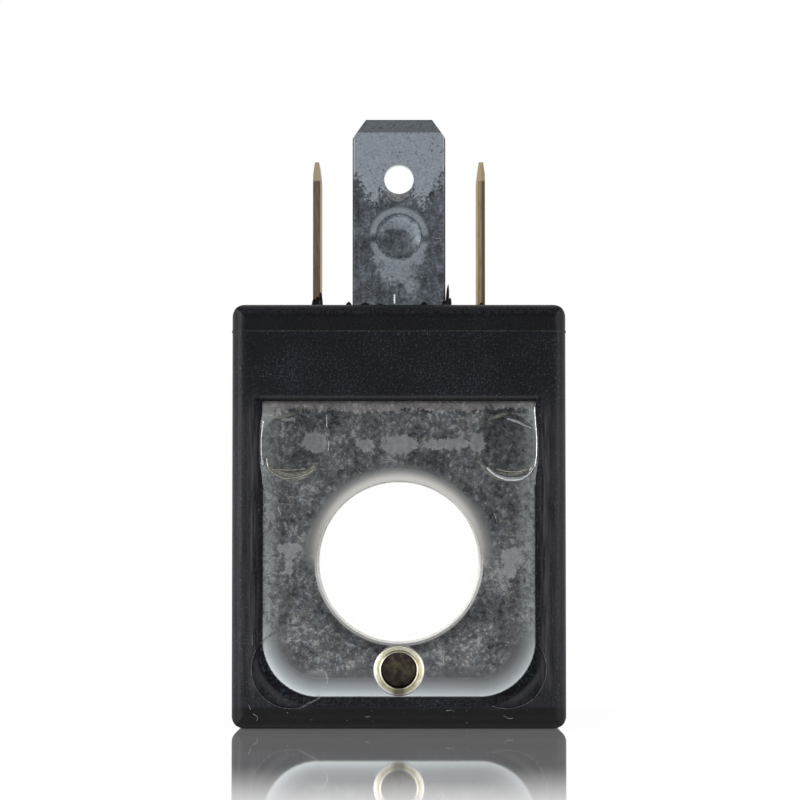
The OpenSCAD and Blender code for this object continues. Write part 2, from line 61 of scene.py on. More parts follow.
def setNode(tree, node, settings):
    for key, value in settings.items():
        if key == "stops":  # of a colour ramp, each a place and a colour
            ramp = node.color_ramp
            while len(ramp.elements) < len(value):
                ramp.elements.new(1.0)
            for element, (place, colour) in zip(ramp.elements, value):
                element.position = place
                element.color = toLinear(colour)
        elif key == "range":  # of a Map Range node, from two numbers to two others
            for end, number in zip(("From Min", "From Max", "To Min", "To Max"), value):
                node.inputs[end].default_value = number
        elif isinstance(key, str) and key[0].islower():  # a property
            setattr(node, key, value)
        elif hasattr(value, "outputs"):  # a node, linked by the first of its outputs that is in use
            tree.links.new(next(output for output in value.outputs if output.enabled), node.inputs[key])
        elif isinstance(value, bpy.types.NodeSocket):
            tree.links.new(value, node.inputs[key])
        else:
            node.inputs[key].default_value = toLinear(value) if isinstance(value, str) else value


def addNode(tree, kind, settings=None):
    kind, *operation = kind.split()  # a maths node's operation follows its kind
    node = tree.nodes.new(kind if "Node" in kind else "ShaderNode" + kind)
    if operation:
        node.operation = operation[0]
    setNode(tree, node, settings or {})
    return node


# camera, floor and light

view = {
    "place": (0.00007, -0.234, 0.0),  # on the bore's height, 220 mm in front of the front face
    "tiltUp": math.radians(2.778),
    "lens": 150.0,
    "sensor": 36.0,
    "near": 0.005,
}
cameraData = bpy.data.cameras.new("camera")
cameraData.lens = view["lens"]
cameraData.sensor_width = view["sensor"]
cameraData.clip_start = view["near"]
camera = bpy.data.objects.new("camera", cameraData)
camera.location = view["place"]
camera.rotation_euler = (math.pi / 2 + view["tiltUp"], 0.0, 0.0)
bpy.context.collection.objects.link(camera)
bpy.context.scene.camera = camera
bpy.context.scene.view_settings.view_transform = "Standard"

studio = {
    "floorRadius": 0.085,
    "floorZ": cadBox[0][2] - 0.00001,
    "foot": (0.011, 0.014, 1.0),  # half the width and depth of the object's foot; height doesn't count
    "gloss": 0.9,  # share of the mirror image close to the object
    "glossFade": (0.038, 0.09),  # from the foot, where the mirror image starts to fade and is gone
    "panels": {  # power, place, tilt and turn in degrees, width and height
        "leftSide": (0.24, (-0.35, -0.02, 0.06), (90, -90), (0.4, 0.3)),
        "rightSide": (0.24, (0.35, -0.02, 0.06), (90, 90), (0.4, 0.3)),
        "leftFront": (0.8, (-0.315, -0.246, 0.06), (90, -52), (0.14, 0.3)),
        "rightFront": (0.4, (0.315, -0.246, 0.06), (90, 52), (0.14, 0.3)),
        "fill": (3.2, (-0.08, -0.5, 0.42), (52, -9), (0.4, 0.4)),
    },
}

floorMesh = bpy.data.meshes.new("floor")
disc = bmesh.new()
bmesh.ops.create_circle(disc, cap_ends=True, segments=128, radius=studio["floorRadius"])
for vertex in disc.verts:
    vertex.co.z = studio["floorZ"]
disc.to_mesh(floorMesh)
disc.free()
floor = bpy.data.objects.new("floor", floorMesh)
bpy.context.collection.objects.link(floor)

# white gloss acrylic sheet: white to the camera and to metal, a mirror image only close to the object
acrylic = bpy.data.materials.new("whiteGlossAcrylic")
acrylic.use_nodes = True
tree = acrylic.node_tree
tree.nodes.clear()
away = addNode(tree, "VectorMath ABSOLUTE", {0: addNode(tree, "TexCoord").outputs["Object"]})
away = addNode(tree, "VectorMath SUBTRACT", {0: away, 1: studio["foot"]})
away = addNode(tree, "VectorMath MAXIMUM", {0: away, 1: (0, 0, 0)})
away = addNode(tree, "VectorMath LENGTH", {0: away})
mirror = addNode(tree, "MapRange", {
    "interpolation_type": "SMOOTHSTEP", "range": studio["glossFade"] + (studio["gloss"], 0.0), "Value": away})
facing = addNode(tree, "LayerWeight", {"Blend": 0.5}).outputs["Facing"]
facing = addNode(tree, "MapRange", {"range": (0.8, 0.94, 0.03), "Value": facing})
rays = addNode(tree, "LightPath").outputs
for mask in (facing, rays["Is Camera Ray"]):
    mirror = addNode(tree, "Math MULTIPLY", {0: mirror, 1: mask})
contact = addNode(tree, "MapRange", {"range": (0, 0.0025), "Value": away})  # dark at the foot
contact = addNode(tree, "Math MULTIPLY", {0: rays["Is Glossy Ray"], 1: contact})
seen = rays["Is Camera Ray"]
for ray in (contact, rays["Is Transmission Ray"]):
    seen = addNode(tree, "Math MAXIMUM", {0: seen, 1: ray})
clear = addNode(tree, "MapRange", {"range": (0, 0.012, 0.6, 1.0), "Value": away})
seen = addNode(tree, "Math MULTIPLY", {0: seen, 1: clear})
paint = addNode(tree, "BsdfDiffuse", {"Color": "#f3f3f3"})  # plain white paint takes the shadow at the foot
white = addNode(tree, "Emission", {"Strength": 1.0})
gloss = addNode(tree, "BsdfGlossy", {"Color": "#ffffff", "Roughness": 0.03})
base = addNode(tree, "MixShader", {"Fac": seen, 1: paint, 2: white})
both = addNode(tree, "MixShader", {"Fac": mirror, 1: base, 2: gloss})
addNode(tree, "OutputMaterial", {"Surface": both})
floorMesh.materials.append(acrylic)

for name, (power, place, (tilt, turn), size) in studio["panels"].items():
    panel = bpy.data.lights.new(name + "Panel", "AREA")
    panel.shape = "RECTANGLE"
    panel.size, panel.size_y = size
    panel.energy = power
    lamp = bpy.data.objects.new(name + "Panel", panel)
    lamp.location = place
    lamp.rotation_euler = (math.radians(tilt), 0.0, math.radians(turn))
    lamp.visible_glossy = name != "fill"  # the fill only lifts the shadows, metal doesn't show it
    bpy.context.collection.objects.link(lamp)

# the room: white to the camera, a dim studio to everything else, darker overhead
world = bpy.data.worlds.new("studioRoom")
bpy.context.scene.world = world
world.use_nodes = True
tree = world.node_tree
tree.nodes.clear()
axes = addNode(tree, "SeparateXYZ", {0: addNode(tree, "TexCoord").outputs["Generated"]}).outputs
level = addNode(tree, "MapRange", {"range": (0.08, 0.6, 0.38, 0.13), "Value": axes["Z"]})
behind = addNode(tree, "MapRange", {"range": (0.15, 0.5), "Value": axes["Y"]})  # a white sheet at the back
for light in (behind, addNode(tree, "LightPath").outputs["Is Camera Ray"]):
    level = addNode(tree, "Math MAXIMUM", {0: level, 1: light})
sky = addNode(tree, "Background", {"Color": "#ffffff", "Strength": level})
addNode(tree, "OutputWorld", {"Surface": sky})
print("studio ready")


# materials: patterns are in millimetres on Object coordinates

legCorner = (5.25, -5.14)  # x and z of the middle of a leg's round lower corner


def startMaterial(name):
    material = bpy.data.materials.new(name)
    material.use_nodes = True
    tree = material.node_tree
    where = addNode(tree, "TexCoord").outputs["Object"]
    inMm = addNode(tree, "Mapping", {"Scale": (1000, 1000, 1000), "Vector": where})
    return material, tree, tree.nodes["Principled BSDF"], inMm


def spotDistance(tree, point, spots):
    nearest = 1000.0  # how far out a point is, 1 at the rim of the nearest ellipse in the plane of the legs
    for x, z, halfWidth, halfHeight in spots:
        local = addNode(tree, "Mapping", {
            "Location": (-x / halfWidth, 0, -z / halfHeight), "Scale": (1 / halfWidth, 0, 1 / halfHeight),
            "Vector": point})
        far = addNode(tree, "VectorMath LENGTH", {0: local})
        nearest = addNode(tree, "Math MINIMUM", {0: nearest, 1: far})
    return nearest


def legDistance(tree, point):
    split = addNode(tree, "SeparateXYZ", {0: point}).outputs  # grows to the rim of a leg, round its corners
    across = addNode(tree, "Math ABSOLUTE", {0: split["X"]})
    across = addNode(tree, "Math SUBTRACT", {0: across, 1: legCorner[0]})
    down = addNode(tree, "Math SUBTRACT", {0: legCorner[1], 1: split["Z"]})
    inside = addNode(tree, "Math MAXIMUM", {0: across, 1: down})
    inside = addNode(tree, "Math MINIMUM", {0: inside, 1: 0.0})
    beyond = addNode(tree, "CombineXYZ", {"X": across, "Z": down})
    beyond = addNode(tree, "VectorMath MAXIMUM", {0: beyond, 1: (0, 0, 0)})
    beyond = addNode(tree, "VectorMath LENGTH", {0: beyond})
    return addNode(tree, "Math ADD", {0: beyond, 1: inside})


def gapTo(tree, value, place):
    gap = addNode(tree, "Math SUBTRACT", {0: value, 1: place})  # how far a value is from a place, either way
    return addNode(tree, "Math ABSOLUTE", {0: gap})


def shakePoint(tree, point, noise, reach):
    moved = addNode(tree, "VectorMath MULTIPLY_ADD", {  # makes the border of a spot ragged
        0: noise.outputs["Color"], 1: (reach, 0, reach), 2: point})
    return addNode(tree, "VectorMath SUBTRACT", {0: moved, 1: (reach / 2, 0, reach / 2)})


# glass-filled nylon, moulded in a spark-eroded mould: near black, dull grain, paler fibres at the skin
nylonLook = {
    "tones": [(0.45, "#010102"), (0.56, "#020408"), (0.66, "#0b0e15"), (0.75, "#2a2f37")],
    "fleck": "#5c5d61",  # ends of glass fibres at the skin
    "polished": "#030303",  # above the parting ridge and under the legs
    "pale": "#333236",  # the paler skin: scuffs, and painted light on bevels and edges
    "heights": {  # where a mask starts and is full, and its shares if they aren't 0 and 1
        "aboveSeam": (15.2, 15.3, 0, 0.65), "belowLegs": (-9.4, -9.75, 0, 0.88), "upTo": (11.5, 9.5),
        "downTo": (-9.4, -8.0), "corner": (-4.54, -5.74), "window": (10.9, 10.7)},
    "besideLegs": (9.0, 11.05),  # from the middle, the skin beside the legs
    "scuffsAndBevelLight": [(0.0, "#000000"), (0.12, "#8c8c8c"), (0.26, "#ffffff"), (0.36, "#ffffff"), (0.52, "#acacac"),
                (0.96, "#959595"), (1.0, "#2a2a2a")],  # across that skin, palest at the bevel's outer end, where a painted highlight adds to the scuffs
    "seam": (15.25, 0.05, 0.42),  # the parting ridge: height, half its thickness and how pale
    "underLegs": (-9.2, 0.3, 0.3),  # painted light on the bevel under the legs, which lies in shade
    # painted highlight on the round of the top edge
    "topEdge": (16.8, 0.3, 0.3),
    "overLegs": (10.83, 0.12, 0.45),  # painted light on the lip over a leg, which lies in shade
    "lipHalfWidth": 9.2,
    "groove": 4.6,  # from the middle of a leg's corner, where the painted highlight runs
    "bevel": (4.46, 4.36),
}
nylon, tree, shader, inMm = startMaterial("glassNylonMoulded")
axes = addNode(tree, "SeparateXYZ", {0: inMm}).outputs
aside = addNode(tree, "Math ABSOLUTE", {0: axes["X"]})
legEdge = legDistance(tree, inMm)
grain = addNode(tree, "TexNoise", {"Scale": 1 / 0.14, "Detail": 4.0, "Roughness": 0.75, "Vector": inMm})
cloud = addNode(tree, "TexNoise", {"Scale": 1 / 3.0, "Detail": 3.0, "Vector": inMm})
tone = addNode(tree, "Math MULTIPLY_ADD", {0: cloud, 1: 0.2, 2: grain})
tone = addNode(tree, "ValToRGB", {"stops": nylonLook["tones"], "Fac": tone})
upright = addNode(tree, "Mapping", {"Scale": (1 / 0.1, 1 / 0.1, 1 / 0.45), "Vector": inMm})
fleck = addNode(tree, "TexNoise", {"Scale": 1.0, "Detail": 2.0, "Vector": upright})
fleck = addNode(tree, "MapRange", {"range": (0.66, 0.78, 0, 0.5), "Value": fleck})
masks = {}
for name, span in nylonLook["heights"].items():
    masks[name] = addNode(tree, "MapRange", {"range": span, "Value": axes["Z"]})
smooth = addNode(tree, "Math MAXIMUM", {0: masks["aboveSeam"], 1: masks["belowLegs"]})
# the skin beside the legs is paler, in long upright scuffs, with a painted highlight on the bevel by each leg
outward = addNode(tree, "MapRange", {"range": nylonLook["besideLegs"], "Value": aside})
paler = addNode(tree, "ValToRGB", {"stops": nylonLook["scuffsAndBevelLight"], "Fac": outward})
long = addNode(tree, "Mapping", {"Scale": (1 / 0.14, 1 / 0.14, 1 / 2.4), "Vector": inMm})
uprightStreaks = addNode(tree, "TexNoise", {"Scale": 1.0, "Detail": 3.0, "Vector": long})
uprightStreaks = addNode(tree, "MapRange", {"range": (0.36, 0.6, 0.15), "Value": uprightStreaks})
for mask in (masks["upTo"], masks["downTo"], uprightStreaks):
    paler = addNode(tree, "Math MULTIPLY", {0: paler, 1: mask})
within = addNode(tree, "Math LESS_THAN", {0: aside, 1: nylonLook["lipHalfWidth"]})
# pale bands: the parting ridge, and painted light on the bevel under the legs, the top edge and the lip over
# each leg
for name, mask in (("seam", uprightStreaks), ("underLegs", uprightStreaks), ("topEdge", uprightStreaks), ("overLegs", within)):
    height, half, share = nylonLook[name]
    band = gapTo(tree, axes["Z"], height)
    band = addNode(tree, "MapRange", {"range": (1.5 * half, half, 0, share), "Value": band})
    band = addNode(tree, "Math MULTIPLY", {0: band, 1: mask})
    paler = addNode(tree, "Math MAXIMUM", {0: paler, 1: band})
# a painted highlight follows the round lower corners of the legs, in place of a groove catching the light
groove = gapTo(tree, legEdge, nylonLook["groove"])
groove = addNode(tree, "MapRange", {
    "interpolation_type": "SMOOTHSTEP", "range": (0.34, 0.02), "Value": groove})
sideways = addNode(tree, "MapRange", {"range": (5.65, 7.85, 0, 0.5), "Value": aside})
for mask in (sideways, masks["corner"]):
    groove = addNode(tree, "Math MULTIPLY", {0: groove, 1: mask})
paler = addNode(tree, "Math MAXIMUM", {0: paler, 1: groove})
for share, colour in ((fleck, "fleck"), (smooth, "polished"), (paler, "pale")):
    tone = addNode(tree, "Mix", {"data_type": "RGBA", "Factor": share, "A": tone, "B": nylonLook[colour]})
# the bevel round a leg is matt, cut by the edge of the mould
bevel = addNode(tree, "MapRange", {"range": nylonLook["bevel"], "Value": legEdge})
bevel = addNode(tree, "Math MULTIPLY", {0: bevel, 1: masks["window"]})
matt = addNode(tree, "MapRange", {"range": (0, 1, 0.45, 1.0), "Value": bevel})
bump = addNode(tree, "Bump", {"Strength": 0.5, "Distance": 0.00002, "Height": grain})
setNode(tree, shader, {
    "Base Color": tone, "Normal": bump, "Roughness": matt, "Specular IOR Level": 0.24, "IOR": 1.53})

# zinc-plated cold-rolled steel, barrel plated: dull grey, salt-and-pepper mottle, smooth where it was rubbed
# the mottle is about 0.1 mm on the part and is drawn at 0.3 mm so that it shows
zincLook = {
    "paler": [  # x, z, half the width and half the height of each spot
        (-5.5, 7.9, 0.85, 0.7), (0.07, 7.75, 1.2, 0.62), (3.15, 7.78, 1.6, 0.36), (5.2, 7.9, 0.5, 0.62),
        (-7.2, 0.88, 0.85, 0.33), (-7.2, 0.4, 0.42, 0.4), (-7.3, -0.35, 0.25, 0.6), (7.5, 0.35, 0.75, 0.6),
        (7.3, -0.6, 0.4, 0.55), (-5.4, -7.8, 0.75, 0.8), (-7.7, 8.7, 0.12, 0.5), (-7.4, 9.42, 0.5, 0.12),
        (-2.2, 7.72, 0.72, 0.38)],
    "dents": [(-7.1, 7.7, 2.1, 2.1), (7.1, 7.7, 2.1, 2.1)],
    "cornerRadius": 3.8,
    "holeRadius": 5.4,
    "heights": {"dull": (3.0, -3.0, 1.0, 0.86), "end": (-3.4, -5.6), "dents": (5.4, 6.2),
                "upper": (-1.0, 1.0), "lower": (1.0, -1.0)},
    "plated": [(0.56, "#434648"), (0.7, "#717376"), (0.84, "#929497"), (0.98, "#cfd1d3")],
    "hue": [(0.34, "#eaf0f5"), (0.46, "#f0f3f2"), (0.56, "#f3f2ee"), (0.66, "#f1eef2")],
    # painted highlight on the rolled edge, brightest at its rim
    "edge": [(0.0, "#6c6d70"), (0.42, "#74777a"), (0.7, "#9aa0a4"), (0.88, "#bac2c6"), (1.0, "#dfe4e6")],
    "rim": [(0.05, "#939495"), (0.37, "#979898"), (0.61, "#acaba9"), (0.85, "#c9c8c4")],
    "lip": [(0.3, "#e8e8e6"), (0.5, "#ffffff")],
    "spot": [(0.35, "#aaadb0"), (0.6, "#c0c2c4")],
    # the smooth bands along the sides, also the painted glint on the flanks
    "band": [(0.35, "#b4babd"), (0.6, "#c2c8cb")],
    "dentShade": "#9c9ea2",
    "rosy": [(0.34, "#505152"), (0.46, "#5b5959"), (0.56, "#605a5a"), (0.66, "#7c7a78")],
}
edgeAt = zincLook["cornerRadius"]
holeAt = zincLook["holeRadius"]
zinc, tree, shader, inMm = startMaterial("zincPlatedSteelBarrel")
axes = addNode(tree, "SeparateXYZ", {0: inMm}).outputs
masks = {}
for name, span in zincLook["heights"].items():
    masks[name] = addNode(tree, "MapRange", {"range": span, "Value": axes["Z"]})
mottle = addNode(tree, "TexNoise", {
    "Scale": 1 / 0.32, "Detail": 5.0, "Roughness": 0.72, "Distortion": 0.5, "Vector": inMm})
patch = addNode(tree, "TexNoise", {"Scale": 1 / 1.6, "Detail": 3.0, "Vector": inMm})
apart = addNode(tree, "VectorMath ADD", {0: inMm, 1: (40, 0, 0)})  # flecks apart from the mottle
fleck = addNode(tree, "TexNoise", {"Scale": 1 / 0.3, "Detail": 2.0, "Distortion": 2.2, "Vector": apart})
fleck = addNode(tree, "MapRange", {"range": (0.62, 0.74, 0, 0.22), "Value": fleck})
tone = addNode(tree, "Math MULTIPLY_ADD", {0: patch, 1: 0.55, 2: mottle})
tone = addNode(tree, "Math ADD", {0: tone, 1: fleck})
plated = addNode(tree, "ValToRGB", {"stops": zincLook["plated"], "Fac": tone})
# the passivation differs a little in hue from place to place, and the lower half is darker
hue = addNode(tree, "TexNoise", {"Scale": 1 / 0.9, "Detail": 2.0, "Vector": inMm})
hue = addNode(tree, "ValToRGB", {"stops": zincLook["hue"], "Fac": hue})
surface = addNode(tree, "VectorMath SCALE", {0: plated, "Scale": masks["dull"]})
surface = addNode(tree, "VectorMath MULTIPLY", {0: surface, 1: hue})
wobble = addNode(tree, "TexNoise", {"Scale": 1 / 0.5, "Detail": 5.0, "Roughness": 0.7, "Vector": inMm})
wobble = shakePoint(tree, inMm, wobble, 0.9)
speck = addNode(tree, "MapRange", {"range": (0.37, 0.54, 0.35), "Value": mottle})
paler = spotDistance(tree, wobble, zincLook["paler"])
paler = addNode(tree, "Math MULTIPLY_ADD", {0: mottle, 1: -0.9, 2: paler})
paler = addNode(tree, "MapRange", {"range": (0.68, 0.46, 0, 0.9), "Value": paler})
# the rolled edge along the sides, the end and the corners of a leg is smooth, with a painted highlight
# brightest at its rim, and a painted glint on the flanks beside the dents
raggedEdge = legDistance(tree, wobble)
sideBand = addNode(tree, "MapRange", {"range": (edgeAt - 1.3, edgeAt - 0.5, 0, 0.62), "Value": raggedEdge})
sideBand = addNode(tree, "Math MULTIPLY", {0: sideBand, 1: speck})  # the mottle breaks through
endHighlight = addNode(tree, "MapRange", {"range": (edgeAt - 2.0, edgeAt - 1.2), "Value": raggedEdge})
endHighlight = addNode(tree, "Math MULTIPLY", {0: endHighlight, 1: masks["end"]})
flankGlint = addNode(tree, "MapRange", {"range": (edgeAt - 0.8, edgeAt - 0.1), "Value": raggedEdge})
for mask in (masks["dents"], speck):
    flankGlint = addNode(tree, "Math MULTIPLY", {0: flankGlint, 1: mask})
edgeHighlightRamp = addNode(tree, "MapRange", {"range": (edgeAt - 2.0, edgeAt), "Value": legDistance(tree, inMm)})
# round the hole the upper half is paler in a ragged band, and the lower half has a painted glint at the very
# edge
raggedBore = spotDistance(tree, wobble, [(0, 0, 1, 1)])
smoothBore = spotDistance(tree, inMm, [(0, 0, 1, 1)])
rim = addNode(tree, "MapRange", {"range": (holeAt + 1.15, holeAt + 0.7), "Value": raggedBore})
rim = addNode(tree, "Math MULTIPLY", {0: rim, 1: masks["upper"]})
lip = addNode(tree, "MapRange", {"range": (holeAt + 0.22, holeAt + 0.13), "Value": smoothBore})
lip = addNode(tree, "Math MULTIPLY", {0: lip, 1: masks["lower"]})
toHole = addNode(tree, "MapRange", {"range": (holeAt + 1.1, holeAt), "Value": smoothBore})
tones = {}
for name, along in (("edge", edgeHighlightRamp), ("rim", toHole), ("lip", mottle), ("spot", mottle), ("band", mottle)):
    tones[name] = addNode(tree, "ValToRGB", {"stops": zincLook[name], "Fac": along})
# painted light: the left side of that edge is lighter and the right side darker, as the light falls
leftLightScale = addNode(tree, "MapRange", {"range": (-8.0, 8.0, 1.12, 0.84), "Value": axes["X"]})
tones["edge"] = addNode(tree, "VectorMath SCALE", {0: tones["edge"], "Scale": leftLightScale})
calm = 0.0  # how smooth the surface is
layers = ((paler, "spot"), (sideBand, "band"), (endHighlight, "edge"), (rim, "rim"), (lip, "lip"),
          (flankGlint, "band"))
for share, name in layers:
    surface = addNode(tree, "Mix", {"data_type": "RGBA", "Factor": share, "A": surface, "B": tones[name]})
    calm = addNode(tree, "Math MAXIMUM", {0: calm, 1: share})
# painted shade: the dents are darker inside, except on the pale spots
dents = spotDistance(tree, inMm, zincLook["dents"])
dents = addNode(tree, "MapRange", {"range": (1.02, 0.98, 0, 0.3), "Value": dents})
unrubbed = addNode(tree, "Math SUBTRACT", {0: 1.0, 1: paler})
dents = addNode(tree, "Math MULTIPLY", {0: dents, 1: unrubbed})
surface = addNode(tree, "Mix", {
    "data_type": "RGBA", "blend_type": "MULTIPLY", "Factor": dents, "A": surface, "B": zincLook["dentShade"]})
# a dull rosy film along the bend under the plastic, left by the moulding
film = addNode(tree, "Math MULTIPLY_ADD", {0: patch, 1: 1.1, 2: axes["Z"]})
film = addNode(tree, "Math MULTIPLY_ADD", {0: mottle, 1: 1.2, 2: film})
film = addNode(tree, "MapRange", {"range": (11.05, 11.3, 0, 0.85), "Value": film})
rosy = addNode(tree, "ValToRGB", {"stops": zincLook["rosy"], "Fac": mottle})
surface = addNode(tree, "Mix", {"data_type": "RGBA", "Factor": film, "A": surface, "B": rosy})
bare = addNode(tree, "MapRange", {"range": (0, 1, 1.0, 0.25), "Value": film})
bumpShare = addNode(tree, "MapRange", {"range": (0, 1, 0.4, 0.06), "Value": calm})
bump = addNode(tree, "Bump", {"Distance": 0.00003, "Height": mottle, "Strength": bumpShare})
setNode(tree, shader, {"Base Color": surface, "Metallic": bare, "Normal": bump, "Roughness": 0.27})

# zinc-plated steel, blue passivated strip: cool grey with upright wipe streaks and small dark pits
blueLook = {
    "zone": (24.2, 1.65, 1.5),  # lowest height of the clean upper zone, how far out that is, its slope
    "coin": (0, 22.05, 1, 1),  # middle of the coined dish; distances from it are in mm
    "ring": (1.6, 2.02),  # the pale ring round the dish
    "worn": 21.9,  # height where the ring is worn through at both sides
    "dish": 1.32,
    "patch": [
        (-0.1, 19.75, 1.35, 0.85), (0.75, 18.75, 0.35, 0.6), (-1.5, 20.6, 0.35, 0.5), (1.4, 20.7, 0.3, 0.6)],
    # the dark oval of painted shade in the dish
    "dishShade": [(-0.25, 21.9, 1.14, 0.72)],
    "edge": (3.02, 3.1, 0, 0.85),  # where the sheared sides start, and how dark they are
    "dull": [(0.62, "#4d5258"), (0.78, "#747b83"), (0.92, "#a0a9b2"), (1.0, "#c8d1da")],
    "bright": [(0.3, "#535a63"), (0.4, "#c2ccd7"), (0.58, "#d6dfea"), (0.74, "#f0f4f8")],
    "sheared": "#2b2f36",
}
blueZinc, tree, shader, inMm = startMaterial("bluePassivatedSteelStrip")
axes = addNode(tree, "SeparateXYZ", {0: inMm}).outputs
upright = addNode(tree, "Mapping", {"Scale": (1 / 0.3, 1 / 0.3, 1.0), "Vector": inMm})
streak = addNode(tree, "TexNoise", {"Scale": 1.0, "Detail": 5.0, "Roughness": 0.7, "Vector": upright})
blot = addNode(tree, "TexNoise", {"Scale": 1 / 1.1, "Detail": 5.0, "Roughness": 0.65, "Vector": inMm})
pits = addNode(tree, "TexNoise", {"Scale": 1 / 0.18, "Detail": 4.0, "Roughness": 0.7, "Vector": inMm})
speck = addNode(tree, "Math SUBTRACT", {0: pits, 1: 0.5})
# the upper zone is wiped clean, with a ragged border that hangs down at both sides
out = addNode(tree, "Math ABSOLUTE", {0: axes["X"]})
lowest, lowestOut, slope = blueLook["zone"]
border = addNode(tree, "Math MULTIPLY_ADD", {0: gapTo(tree, out, lowestOut), 1: slope, 2: lowest})
zone = addNode(tree, "Math SUBTRACT", {0: axes["Z"], 1: border})
zone = addNode(tree, "Math MULTIPLY_ADD", {0: streak, 1: 2.6, 2: zone})
zone = addNode(tree, "Math MULTIPLY_ADD", {0: speck, 1: 4.0, 2: zone})
zone = addNode(tree, "MapRange", {"range": (0.9, 1.7), "Value": zone})
fromCoin = spotDistance(tree, inMm, [blueLook["coin"]])
ragged = addNode(tree, "Math MULTIPLY_ADD", {0: speck, 1: 0.5, 2: fromCoin})
ringFrom, ringTo = blueLook["ring"]
ring = addNode(tree, "MapRange", {"range": (ringFrom - 0.04, ringFrom + 0.04), "Value": fromCoin})
ringOut = addNode(tree, "MapRange", {"range": (ringTo + 0.06, ringTo - 0.1), "Value": ragged})
worn = gapTo(tree, axes["Z"], blueLook["worn"])
worn = addNode(tree, "MapRange", {"range": (0.12, 0.4, 0, 0.8), "Value": worn})
for mask in (ringOut, worn):
    ring = addNode(tree, "Math MULTIPLY", {0: ring, 1: mask})
patch = spotDistance(tree, shakePoint(tree, inMm, streak, 1.0), blueLook["patch"])
patch = addNode(tree, "Math MULTIPLY_ADD", {0: speck, 1: -1.6, 2: patch})
patch = addNode(tree, "MapRange", {"range": (1.25, 0.7, 0, 0.7), "Value": patch})
dishAt = blueLook["dish"]
outside = addNode(tree, "MapRange", {"range": (dishAt + 0.14, dishAt + 0.3), "Value": fromCoin})
patch = addNode(tree, "Math MULTIPLY", {0: patch, 1: outside})
# in the dish, painted light and shade for its hollow: a pale sickle at the upper right, a dark oval in the
# middle, a speckled lower part
dishLightAndShade = addNode(tree, "MapRange", {"range": (dishAt + 0.05, dishAt - 0.05), "Value": fromCoin})
dishShade = spotDistance(tree, inMm, blueLook["dishShade"])
dishShade = addNode(tree, "Math MULTIPLY_ADD", {0: speck, 1: 0.4, 2: dishShade})
dishShade = addNode(tree, "MapRange", {"range": (0.96, 1.06), "Value": dishShade})
sickleHighlight = addNode(tree, "Math MULTIPLY_ADD", {0: axes["X"], 1: 0.6, 2: axes["Z"]})
sickleHighlight = addNode(tree, "MapRange", {"range": (21.55, 22.95, 0.3, 0.42), "Value": sickleHighlight})
for mask in (dishShade, sickleHighlight):
    dishLightAndShade = addNode(tree, "Math MULTIPLY", {0: dishLightAndShade, 1: mask})
clean = zone
for mask in (ring, patch, dishLightAndShade):
    clean = addNode(tree, "Math MAXIMUM", {0: clean, 1: mask})
sheared = addNode(tree, "MapRange", {"range": blueLook["edge"], "Value": out})
tone = addNode(tree, "Mix", {"Factor": 0.45, "A": pits, "B": streak})
tone = addNode(tree, "Math MULTIPLY_ADD", {0: blot, 1: 0.6, 2: tone})
tone = addNode(tree, "ValToRGB", {"stops": blueLook["dull"], "Fac": tone})
bright = addNode(tree, "ValToRGB", {"stops": blueLook["bright"], "Fac": pits})
for share, colour in ((clean, bright), (sheared, blueLook["sheared"])):
    tone = addNode(tree, "Mix", {"data_type": "RGBA", "Factor": share, "A": tone, "B": colour})
bump = addNode(tree, "Bump", {"Strength": 0.3, "Distance": 0.00002, "Height": pits})
coarse = addNode(tree, "MapRange", {"range": (0, 0.85, 0.3, 0.85), "Value": sheared})
setNode(tree, shader, {"Base Color": tone, "Roughness": coarse, "Normal": bump, "Metallic": 1.0})

# yellow-passivated free-cutting steel, turned: straw and olive rings, a painted highlight white at the rim,
# painted shade at the bottom of the ring and deeper in the hole, in oily tones
strawLook = {
    "axis": (0, -7.14, 1, 1),  # distances from it are in mm
    "rings": [(0.5, "#837a5a"), (0.68, "#b9b08c"), (0.82, "#d9d3b8"), (0.98, "#f6f3e6")],
    # painted highlight at the outer rim
    "rim": "#ffffff",
    "bottomShade": "#5c594a",  # painted shade at the bottom of the ring
    "holeShadeTones": [(0.35, "#3f3436"), (0.5, "#4f4841"), (0.65, "#605b4a")],
}
straw, tree, shader, inMm = startMaterial("yellowPassivatedSteelTurned")
axes = addNode(tree, "SeparateXYZ", {0: inMm}).outputs
radius = spotDistance(tree, inMm, [strawLook["axis"]])
rings = addNode(tree, "Math MULTIPLY", {0: radius, 1: 1 / 0.08})
rings = addNode(tree, "TexNoise", {"noise_dimensions": "1D", "Scale": 1.0, "Detail": 2.0, "W": rings})
film = addNode(tree, "TexNoise", {"Scale": 1 / 0.7, "Detail": 2.0, "Vector": inMm})
tone = addNode(tree, "Math MULTIPLY_ADD", {0: film, 1: 0.6, 2: rings})
tone = addNode(tree, "ValToRGB", {"stops": strawLook["rings"], "Fac": tone})
# painted highlight: white at the outer rim of the head
rimHighlight = addNode(tree, "MapRange", {"range": (1.54, 1.62, 0, 0.8), "Value": radius})
# painted shade at the bottom of the ring, narrow round the middle
bottomShade = addNode(tree, "Math ABSOLUTE", {0: axes["X"]})
bottomShade = addNode(tree, "MapRange", {"range": (0.6, 0.25, 0, 0.75), "Value": bottomShade})
bottom = addNode(tree, "Math LESS_THAN", {0: axes["Z"], 1: -8.24})
bottomShade = addNode(tree, "Math MULTIPLY", {0: bottomShade, 1: bottom})
